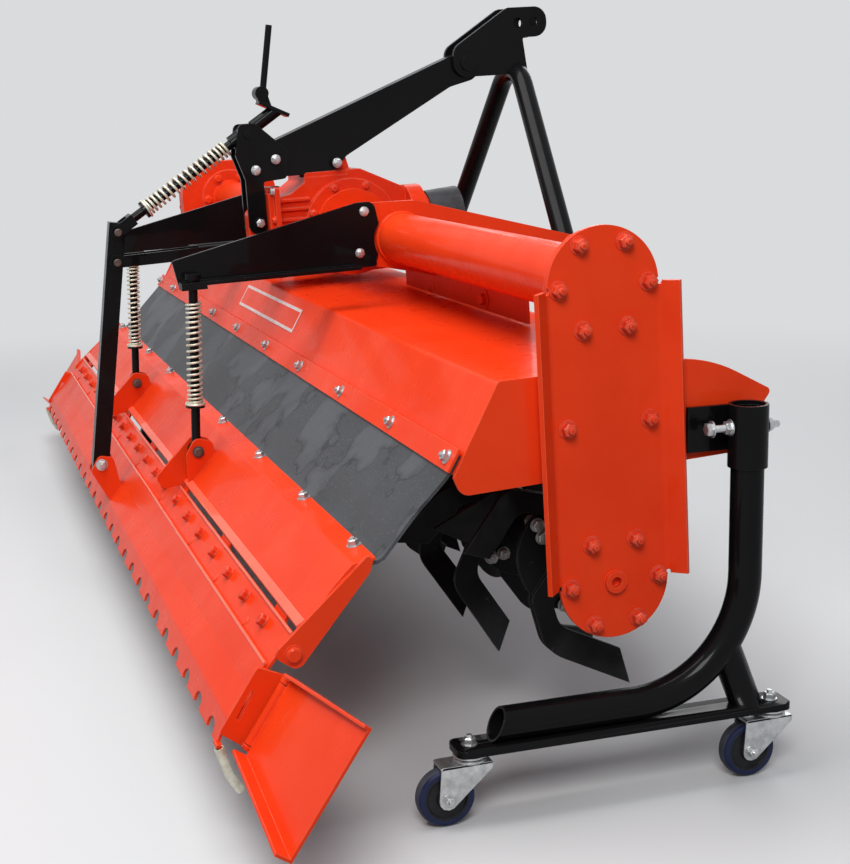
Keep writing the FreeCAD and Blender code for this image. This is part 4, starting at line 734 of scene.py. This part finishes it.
# %% Runs along a path: welds and tubes
RUN, given = geometry_tree("run", {"Radius": 0.004, "Corner": 0.0, "Step": 0.004, "Sides": 7,
                                   "Rough": 0.0})
path = node_of(RUN, "GeometryNodeMeshToCurve", {0: given["Geometry"]})
bent = node_of(RUN, "GeometryNodeFilletCurve", {"Curve": path.outputs[0], "Count": 8,
                                                "Radius": given["Corner"], "Limit Radius": True},
               mode="POLY")
even = node_of(RUN, "GeometryNodeResampleCurve", {"Curve": bent.outputs[0],
                                                  "Length": given["Step"]}, mode="LENGTH")
section = node_of(RUN, "GeometryNodeCurvePrimitiveCircle", {"Resolution": given["Sides"],
                                                            "Radius": given["Radius"]})
tube = node_of(RUN, "GeometryNodeCurveToMesh", {"Curve": even.outputs[0],
                                                "Profile Curve": section.outputs[0],
                                                "Fill Caps": True})
scatter = node_of(RUN, "ShaderNodeTexNoise", {"Scale": 170.0, "Detail": 1.0})
level = node_of(RUN, "ShaderNodeMath", {0: scatter.outputs[0], 1: 0.5}, operation="SUBTRACT")
push = node_of(RUN, "ShaderNodeMath", {0: level.outputs[0], 1: given["Rough"]},
               operation="MULTIPLY")
face_way = node_of(RUN, "GeometryNodeInputNormal")
shift = node_of(RUN, "ShaderNodeVectorMath", {0: face_way.outputs[0], "Scale": push.outputs[0]},
                operation="SCALE")
rippled = node_of(RUN, "GeometryNodeSetPosition", {"Geometry": tube.outputs[0],
                                                   "Offset": shift.outputs[0]})
smooth = node_of(RUN, "GeometryNodeSetShadeSmooth", {"Geometry": rippled.outputs[0]})
end_tree(RUN, smooth.outputs[0], given["Finish"])


def runs(name, body, paths, finish_with, **look):
    """One mesh of round runs; a path is (space, points, closed)."""
    points, edges = [], []
    for space, spots, closed in paths:
        first = len(points)
        points += [space @ Vector(p) for p in spots]
        edges += [(first + i, first + i + 1) for i in range(len(spots) - 1)]
        if closed:
            edges.append((len(points) - 1, first))
    made = grown(mesh_object(name, points, edges), RUN, finish_with, **look)
    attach(made, body)
    print(name, len(paths), "runs,", len(made.data.polygons), "faces")
    return made


def circle(x, centre, radius, first=0, last=360, steps=48):
    """Points round a circle in the side view."""
    turns = [math.radians(first + (last - first) * i / steps) for i in range(steps)]
    return [(x, centre[0] + radius * math.cos(t), centre[1] + radius * math.sin(t))
            for t in turns]


welds = []
for s in (1, -1):
    welds += [(MACHINE, circle(s * x, TUBE_AXIS, 0.0575), True)
              for x in (1.5275, 0.4485, 0.4365, 0.4600)]
runs("tube_welds", "frame", welds, RED, Radius=0.0042, Rough=0.0035)

# %% [markdown]
# A press brake leaves the sheets with folds that catch the sky. The wide slope of
# the board is a second sheet lapped over the first, so a line of weld runs along its
# top edge; the gate's low edge is turned up in a narrow lip that stiffens it. Both
# are as long as the sheets, so an outline in the side view is simply drawn out. The
# lip and the seams take a lighter red, a painted highlight of the sky on them.

# %% Laps and lips along the sheets
LAP = [(-0.6035, -0.0452), (-0.6062, -0.0435), (-0.6092, -0.0462), (-0.6371, -0.0812),
       (-0.6366, -0.0822), (-0.6080, -0.0538)]
LIP = [(-0.5360, 0.0172), (-0.5372, 0.0186), (-0.5492, 0.0118), (-0.5508, 0.0098),
       (-0.5505, 0.0062), (-0.5478, 0.0050)]
drawn_out("board_lap", "levelling_board", [((-1.535, 1.535), LAP)], RED)
drawn_out("gate_lip", "tailgate", [((-1.536, 1.536), LIP)], HIGHLIGHT_RED)
runs("sheet_seams", "levelling_board",
     [(MACHINE, [(-1.532, -0.6062, -0.0448), (1.532, -0.6062, -0.0448)], False),
      (MACHINE, [(-1.535, -0.5592, -0.0015), (1.535, -0.5592, -0.0015)], False)], HIGHLIGHT_RED,
     Radius=0.0033, Step=0.012, Rough=0.0012)

# %% [markdown]
# The apron is a sheet of rubber clamped at both edges, so it isn't quite flat: it
# sags a little between the hood and the gate and puckers beside the bolts. It is a
# grid laid on its section, which a Solidify modifier makes thick.

# %% The rubber apron
def section_at(rows, share):
    """A (Y, Z) place a share of the way along a bent line, and its outward normal."""
    lengths = [math.dist(a, b) for a, b in zip(rows, rows[1:])]
    far = share * sum(lengths)
    for (a, b), length in zip(zip(rows, rows[1:]), lengths):
        if far <= length + 1e-9:
            way = ((b[0] - a[0]) / length, (b[1] - a[1]) / length)
            return (a[0] + way[0] * far, a[1] + way[1] * far), (way[1], -way[0])
        far -= length
    return rows[-1], (way[1], -way[0])


APRON_ROWS = [(-0.2577, 0.2500), (-0.2752, 0.2222), (-0.4005, 0.0945), (-0.4415, 0.0880)]
HALF_W, ACROSS, DOWN = 1.531, 180, 22
points, faces = [], []
for i in range(ACROSS + 1):
    x = -HALF_W + 2 * HALF_W * i / ACROSS
    for j in range(DOWN + 1):
        (y, z), out = section_at(APRON_ROWS, j / DOWN)
        free = math.sin(math.pi * min(max((j / DOWN - 0.17) / 0.66, 0), 1)) ** 2
        wave = 0.0012 * math.sin(x * 7.1) + 0.0008 * math.sin(x * 17.3 + 1.0)
        sag = free * (-0.0022 + wave)
        points.append(MACHINE @ Vector((x, y - out[0] * sag, z - out[1] * sag)))
for i in range(ACROSS):
    for j in range(DOWN):
        k = i * (DOWN + 1) + j
        faces.append((k, k + 1, k + DOWN + 2, k + DOWN + 1))
apron = mesh_object("rubber_apron", points, faces=faces, material=RUBBER)
thick = apron.modifiers.new("thick", "SOLIDIFY")
thick.thickness = 0.0058
thick.offset = 0.0
settle(apron)
for face in apron.data.polygons:
    face.use_smooth = True
apron.data.set_sharp_from_angle(angle=math.radians(40))
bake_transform(apron)
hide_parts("apron")
print("apron:", len(apron.data.polygons), "faces")

# %% [markdown]
# A long plate is riveted to the slanted hood. On a reusable part it stays bare, so
# it has only its pale edge line round a field in the hood's own red.

# %% The bare plate on the hood
def hood_point(x, along, lift):
    """A point on the hood's slanted panel, a distance up from its rear edge."""
    row = on_slope((-0.272, 0.220), (-0.184, 0.360), along, HOOD_OUT, lift)
    return MACHINE @ Vector((x, *row))


def frame_ring(box_, inset, lift):
    """The four corners of a rectangle on the hood, drawn in by an inset."""
    x0, x1, low_, high_ = box_
    return [hood_point(x, up, lift) for x, up in
            ((x0 + inset, low_ + inset), (x1 - inset, low_ + inset), (x1 - inset, high_ - inset),
             (x0 + inset, high_ - inset))]


PLATE = (-0.35, 0.266, 0.077, 0.137)
points = (frame_ring(PLATE, 0.0, 0.0002) + frame_ring(PLATE, 0.0, 0.0014)
          + frame_ring(PLATE, 0.0075, 0.0014) + frame_ring(PLATE, 0.0085, 0.0010))
faces = [(a + i, a + (i + 1) % 4, a + 4 + (i + 1) % 4, a + 4 + i) for a in (0, 4, 8)
         for i in range(4)] + [(12, 13, 14, 15)]
plate = mesh_object("hood_plate", points, faces=faces, material=SIGN_WHITE)
plate.data.materials.append(RED)
for face in plate.data.polygons:
    face.material_index = 1 if len(set(face.vertices) & {12, 13, 14, 15}) >= 2 else 0
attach(plate, "frame")

# %% [markdown]
# Round things with a profile, such as tyres, hubs, rings and domed nuts, are turned
# about their axis, as on a lathe: the profile is a short list of radius and height.

# %% Turned pieces: casters and collars
def turned_mesh(profiles, steps=48):
    """Vertices, faces and finish numbers of closed profiles turned about Z."""
    points, faces, finishes = [], [], []
    for profile, number in profiles:
        first, n = len(points), len(profile)
        for i in range(steps):
            t = math.tau * i / steps
            points += [(r * math.cos(t), r * math.sin(t), z) for r, z in profile]
        for i in range(steps):
            a, b = first + i * n, first + (i + 1) % steps * n
            for j in range(n):
                k = (j + 1) % n
                faces.append((a + j, b + j, b + k, a + k))
                finishes.append(number)
    return points, faces, finishes


def turned(name, body, profiles, places, finishes, steps=48):
    """The same turned shape at several (matrix) places, as one mesh."""
    points, faces, numbers = turned_mesh(profiles, steps)
    all_points, all_faces, all_numbers = [], [], []
    for place in places:
        first = len(all_points)
        all_points += [place @ Vector(p) for p in points]
        all_faces += [tuple(first + v for v in face) for face in faces]
        all_numbers += numbers
    made = mesh_object(name, all_points, faces=all_faces)
    for dress in finishes:
        made.data.materials.append(dress)
    made.data.polygons.foreach_set("material_index", all_numbers)
    outwards(made)
    for face in made.data.polygons:
        face.use_smooth = True
    made.data.set_sharp_from_angle(angle=math.radians(35))
    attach(made, body)
    return made


def facing(space, point, way):
    """A matrix that stands a turned piece on a point, with its axis along a direction."""
    z = (space.to_3x3() @ Vector(way)).normalized()
    upright = z.to_track_quat("Z", "Y").to_matrix().to_4x4()
    return Matrix.Translation(space @ Vector(point)) @ upright


TREAD = [(0.0375, -0.0135), (0.0425, -0.0148), (0.0463, -0.0135), (0.0490, -0.0095),
         (0.0498, -0.0045), (0.0500, 0.0), (0.0498, 0.0045), (0.0490, 0.0095),
         (0.0463, 0.0135), (0.0425, 0.0148), (0.0375, 0.0135)]
RIM = [(0.0140, -0.0170), (0.0175, -0.0170), (0.0190, -0.0120), (0.0330, -0.0105),
       (0.0350, -0.0138), (0.0380, -0.0138), (0.0380, 0.0138), (0.0350, 0.0138),
       (0.0330, 0.0105), (0.0190, 0.0120), (0.0175, 0.0170), (0.0140, 0.0170),
       (0.0060, 0.0170), (0.0060, -0.0170)]
SWIVEL = [([(0.0, -0.0145), (0.0262, -0.0145), (0.0280, -0.0125), (0.0280, -0.0100),
            (0.0262, -0.0085), (0.0, -0.0085)], 0),
          ([(0.0, -0.0078), (0.0245, -0.0078), (0.0280, -0.0060), (0.0280, -0.0030),
            (0.0255, -0.0012), (0.0, -0.0012)], 0),
          ([(0.0, -0.0200), (0.0072, -0.0200), (0.0072, 0.0125), (0.0, 0.0125)], 0)]
STAND_X, SWIVEL_Y, TRAIL = 1.590, 0.280, 0.044
BAR_LOW, BAR_TOP, AXLE_Z = -0.248, -0.236, -0.320
FORK_HALF, FORK_T = 0.021, 0.0026
ROOF = [(0.033, -0.0142), (-0.052, -0.0142), (-0.0565, -0.0165), (-0.0565, -0.0185),
        (0.033, -0.0172)]
CHEEK = [(0.034, -0.0150), (-0.052, -0.0150), (-0.0560, -0.0190), (-0.0600, -0.0720),
         (-0.0585, -0.0800), (-0.0530, -0.0865), (-0.0440, -0.0890), (-0.0350, -0.0865),
         (-0.0290, -0.0810), (0.0325, -0.0260), (0.034, -0.0220)]
for side, s in (("right", 1), ("left", -1)):
    for end, e in (("front", 1), ("rear", -1)):
        tag = "%s_%s" % (end, side)
        x, y = s * STAND_X, e * SWIVEL_Y
        hub = facing(LEVEL, (x, y - TRAIL, AXLE_Z), (1, 0, 0))
        wheel = turned("tyre_" + tag, "wheel_" + tag, [(TREAD, 0), (RIM, 1)], [hub],
                       [TYRE, HUB], 56)
        for face in wheel.data.polygons:
            if face.material_index == 0 and abs((hub.inverted() @ face.center).z) > 0.0098:
                face.material_index = 2
        wheel.data.materials.append(TYRE_SIDE)
        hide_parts("caster_wheel_" + tag)
        body, at = "caster_" + tag, LEVEL @ Matrix.Translation((x, y, BAR_LOW))
        fork = drawn_out("fork_" + tag, body,
                         [((-FORK_HALF, FORK_HALF), ROOF),
                          ((-FORK_HALF, FORK_T - FORK_HALF), CHEEK),
                          ((FORK_HALF - FORK_T, FORK_HALF), CHEEK)], ZINC, at)
        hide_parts("caster_fork_" + tag)
        turned("swivel_" + tag, body, SWIVEL, [facing(LEVEL, (x, y, BAR_LOW), (0, 0, 1))],
               [ZINC], 40)
        axle = [([(0.0, -0.0225), (0.0048, -0.0225), (0.0048, 0.0225), (0.0, 0.0225)], 0)]
        turned("axle_" + tag, body, axle, [hub], [ZINC], 16)
        fasteners("caster_nuts_" + tag, body,
                  [(LEVEL, (x + w * FORK_HALF, y - TRAIL, AXLE_Z), (w, 0, 0), 0.0090)
                   for w in (1, -1)] + [(LEVEL, (x, y, BAR_TOP), (0, 0, 1), 0.0110)],
                  ZINC, Stud=0.55, Washer=1.25, Head=0.85)
print("casters done")

# %% [markdown]
# The board is pressed from one sheet: its upper flange, the wide slope, and a steep
# toothed strip along the bottom. The strip of the real one is taller, with the last
# fold set outward, and its notches are wider. A copy of the solid takes that
# shape: each vertex on the slope is turned about the upper fold, and the strip's
# are stretched away from the edge, which stays where it was.

# %% The toothed board
def outward(a, b):
    """The unit way from a to b in the side view, and the unit normal to its right."""
    way = Vector((b[0] - a[0], b[1] - a[1])).normalized()
    return way, Vector((way.y, -way.x))


FOLD, LOW, EDGE, NEW_LOW = (Vector(v) for v in ((-0.605, -0.050), (-0.690, -0.143),
                                                (-0.698, -0.163), (-0.6775, -0.121)))
TOP, NOTCH_STEP = Vector((-0.561, -0.004)), 0.118
slope, slope_out = outward(FOLD, LOW)
new_slope, new_slope_out = outward(FOLD, NEW_LOW)
strip, strip_out = outward(LOW, EDGE)
new_strip, new_strip_out = outward(NEW_LOW, EDGE)
flange, _ = outward(FOLD, TOP)
DEEP, NEW_DEEP = (EDGE - LOW).length, (EDGE - NEW_LOW).length


def pressed(p):
    """Where a vertex of the drawn board lies on the board as pressed."""
    spot = Vector((p.y, p.z))
    if abs(p.x) > 1.5495:
        return p
    along, off = (spot - FOLD).dot(slope), (spot - FOLD).dot(slope_out)
    down, aside = (spot - LOW).dot(strip), (spot - LOW).dot(strip_out)
    if (down > -0.0032 and abs(aside) < 0.0075) or (along > 0.1225 and abs(off) < 0.0075):
        x = p.x
        if down > 0.0028:
            nearest = round(x / NOTCH_STEP - 0.5) + 0.5
            beside = x - nearest * NOTCH_STEP
            if abs(beside) < 0.0135:
                x += 0.92 * beside
            down = NEW_DEEP - (DEEP - down) * 1.28
        spot = NEW_LOW + new_strip * down + new_strip_out * aside
        return Vector((x, spot.x, spot.y))
    if 0.001 < along and -0.008 < off < 0.030:
        share = min(max((0.030 - off) / 0.022, 0), 1)
        turned_to = FOLD + new_slope * along + new_slope_out * off
        spot = spot.lerp(turned_to, share)
        return Vector((p.x, spot.x, spot.y))
    up = (spot - FOLD).dot(flange)
    if up > 0.0625 and (spot - TOP).length < 0.0075:
        spot = spot + flange * 0.005
        return Vector((p.x, spot.x, spot.y))
    return p


def opened(node, name, space):
    """A copy of a solid with its triangles merged, in a drawing's own coordinates."""
    made = bpy.data.objects.new(name, NODES[node].data.copy())
    bpy.context.scene.collection.objects.link(made)
    made.data.transform(space.inverted() @ NODES[node].matrix_world)
    mesh = bmesh.new()
    mesh.from_mesh(made.data)
    bmesh.ops.remove_doubles(mesh, verts=mesh.verts, dist=1e-5)
    bmesh.ops.dissolve_limit(mesh, angle_limit=math.radians(0.5), verts=mesh.verts,
                             edges=mesh.edges)
    return made, mesh


def closed(made, mesh, space, node, body, dress):
    """Put an opened copy back in its place, where it stands for the solid."""
    bmesh.ops.triangulate(mesh, faces=mesh.faces)
    bmesh.ops.recalc_face_normals(mesh, faces=mesh.faces)
    mesh.to_mesh(made.data)
    mesh.free()
    made.data.transform(space)
    made.data.materials.clear()
    made.data.materials.append(dress)
    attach(made, body)
    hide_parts(node)
    print(made.name, len(made.data.polygons), "faces")


board, mesh = opened("leveller_board", "toothed_board", MACHINE)
for vertex in mesh.verts:
    vertex.co = pressed(vertex.co)
closed(board, mesh, MACHINE, "leveller_board", "levelling_board", RED)

# %% [markdown]
# The stand's flat bar ends just past the casters' bolts, with rounded corners, and
# its tube is sawn off at a slant. A few vertices of a copy are moved for the ends,
# and a bevel rounds the bar's four upright corners.

# %% The stands
BAR_END, NEW_BAR_END, TUBE_END = 0.325, 0.308, -0.246
for side in ("right", "left"):
    stand, mesh = opened("stand_" + side, "stand_frame_" + side, LEVEL)
    for vertex in mesh.verts:
        spot = vertex.co
        if abs(spot.y) > BAR_END - 0.001:
            spot.y = math.copysign(NEW_BAR_END, spot.y)
        elif abs(spot.y - TUBE_END) < 0.001 and spot.z > BAR_TOP - 0.001:
            spot.y += 0.45 * (spot.z - BAR_TOP)
    corners = [e for e in mesh.edges
               if all(abs(abs(v.co.y) - NEW_BAR_END) < 1e-4 for v in e.verts)
               and (e.verts[0].co - e.verts[1].co).to_2d().length < 1e-5]
    bmesh.ops.bevel(mesh, geom=corners, offset=0.014, segments=5, profile=0.5, affect="EDGES")
    closed(stand, mesh, LEVEL, "stand_" + side, "stand_" + side, BLACK)
    for face in stand.data.polygons:
        face.use_smooth = True
    stand.data.set_sharp_from_angle(angle=math.radians(30))
    print("corners rounded:", len(corners))

# %% [markdown]
# Small fittings: a bent zinc tube by the wing is the lever that locks it, on a lug of
# its own. The stand is held in its sleeve by a through bolt, and each coil sits on a
# pale collar.

# %% Wing levers, through bolts and collars
def pipe_mesh(name, body, path, radius, wall, dress, corner):
    """An open ended tube along a path."""
    made = mesh_object(name, path, [(i, i + 1) for i in range(len(path) - 1)])
    grown(made, RUN, dress, Radius=radius, Corner=corner, Step=0.004, Sides=20)
    mesh = bmesh.new()
    mesh.from_mesh(made.data)
    bmesh.ops.delete(mesh, geom=[f for f in mesh.faces if len(f.verts) > 4], context="FACES_ONLY")
    mesh.to_mesh(made.data)
    mesh.free()
    thick = made.modifiers.new("wall", "SOLIDIFY")
    thick.thickness = wall
    thick.offset = -1.0
    settle(made)
    made.data.set_sharp_from_angle(angle=math.radians(50))
    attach(made, body)
    return made


HANDLE = [(1.560, -0.697, -0.1605), (1.560, -0.684, -0.2100), (1.560, -0.668, -0.2385)]
LEVER_LUG = [(-0.6900, -0.1600), (-0.6990, -0.1568), (-0.7015, -0.1612), (-0.6920, -0.1668)]
for side, s in (("right", 1), ("left", -1)):
    drawn_out("lever_lug_" + side, "levelling_board",
              [(sorted((s * 1.5300, s * 1.5565)), LEVER_LUG)], RED)
    pipe_mesh("wing_lever_" + side, "levelling_board",
              [MACHINE @ Vector((s * x, y, z)) for x, y, z in HANDLE], 0.008, 0.0015,
              SPRING_ZINC, 0.03)
    x = s * STAND_X
    rod = [([(0.0, 0.0), (0.0055, 0.0008), (0.0062, 0.0020), (0.0062, 0.132), (0.0055, 0.1335),
             (0.0, 0.1338)], 0)]
    turned("stand_bolt_" + side, "frame", rod, [facing(LEVEL, (x, 0.150, 0.257), (0, 1, 0))],
           [ZINC], 20)
    fasteners("stand_nuts_" + side, "frame",
              [(LEVEL, (x, 0.1925, 0.257), (0, -1, 0), 0.0115),
               (LEVEL, (x, 0.158, 0.257), (0, -1, 0), 0.0115),
               (LEVEL, (x, 0.2598, 0.257), (0, 1, 0), 0.0115)], ZINC, Washer=1.25, Seed=31)
ring_profile = [([(0.0108, -0.0020), (0.0215, -0.0020), (0.0228, 0.0), (0.0215, 0.0036),
                  (0.0108, 0.0036)], 0)]
for side, x in (("right", ROD_X), ("left", -ROD_X)):
    foot = Vector((x, *ROD_FOOT))
    way = (Vector((x, *ROD_TOP)) - foot).normalized()
    turned("rod_collar_" + side, "spring_rod_" + side, ring_profile,
           [facing(MACHINE, foot + way * ROD_COIL_LOW, way)], [SPRING_ZINC], 28)
foot = Vector(ADJUSTER_FOOT)
way = (Vector(ADJUSTER_TOP) - foot).normalized()
wide = [([(r * 1.1, z) for r, z in ring_profile[0][0]], 0)]
turned("adjuster_collar", "adjuster", wide,
       [facing(MACHINE, foot + way * ADJUSTER_COIL_LOW, way)], [SPRING_ZINC], 32)

# %% [markdown]
# The input shaft has six splines, each a flat topped ridge, with the corners of its
# free end broken so that a coupling slips on. It is an outline drawn round the axis
# and carried through a few sections.

# %% The splined input shaft
def spline_ring(outer, root, y):
    """One section of the splined shaft, as points round the axis."""
    spots = []
    for i in range(6):
        for turn, r in ((-0.36, root), (-0.25, outer), (0.0, outer), (0.25, outer), (0.36, root),
                        (0.52, root)):
            t = math.tau * i / 6 + turn
            spots.append(MACHINE @ Vector((r * math.cos(t), y, 0.503 + r * math.sin(t))))
    return spots


sections = [(0.0172, 0.0172, 0.215), (0.0172, 0.0172, 0.224), (0.0172, 0.0146, 0.230),
            (0.0172, 0.0146, 0.262), (0.0152, 0.0142, 0.264), (0.0152, 0.0142, 0.272),
            (0.0172, 0.0146, 0.274), (0.0172, 0.0146, 0.297), (0.0152, 0.0136, 0.300)]
points = [spot for outer, root, y in sections for spot in spline_ring(outer, root, y)]
faces = [(a * 36 + i, a * 36 + (i + 1) % 36, a * 36 + 36 + (i + 1) % 36, a * 36 + 36 + i)
         for a in range(len(sections) - 1) for i in range(36)]
faces += [tuple(range(36)), tuple(range(36 * len(sections) - 36, 36 * len(sections)))]
shaft = outwards(mesh_object("splined_shaft", points, faces=faces, material=ZINC))
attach(shaft, "input_shaft")
turned("shaft_shoulder", "input_shaft",
       [([(0.0, 0.112), (0.0232, 0.112), (0.0232, 0.213), (0.0222, 0.2148), (0.0, 0.2148)], 0)],
       [facing(MACHINE, (0, 0, 0.503), (0, 1, 0))], [ZINC], 32)
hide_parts("pto_shaft")
print("shaft:", len(shaft.data.polygons), "faces")
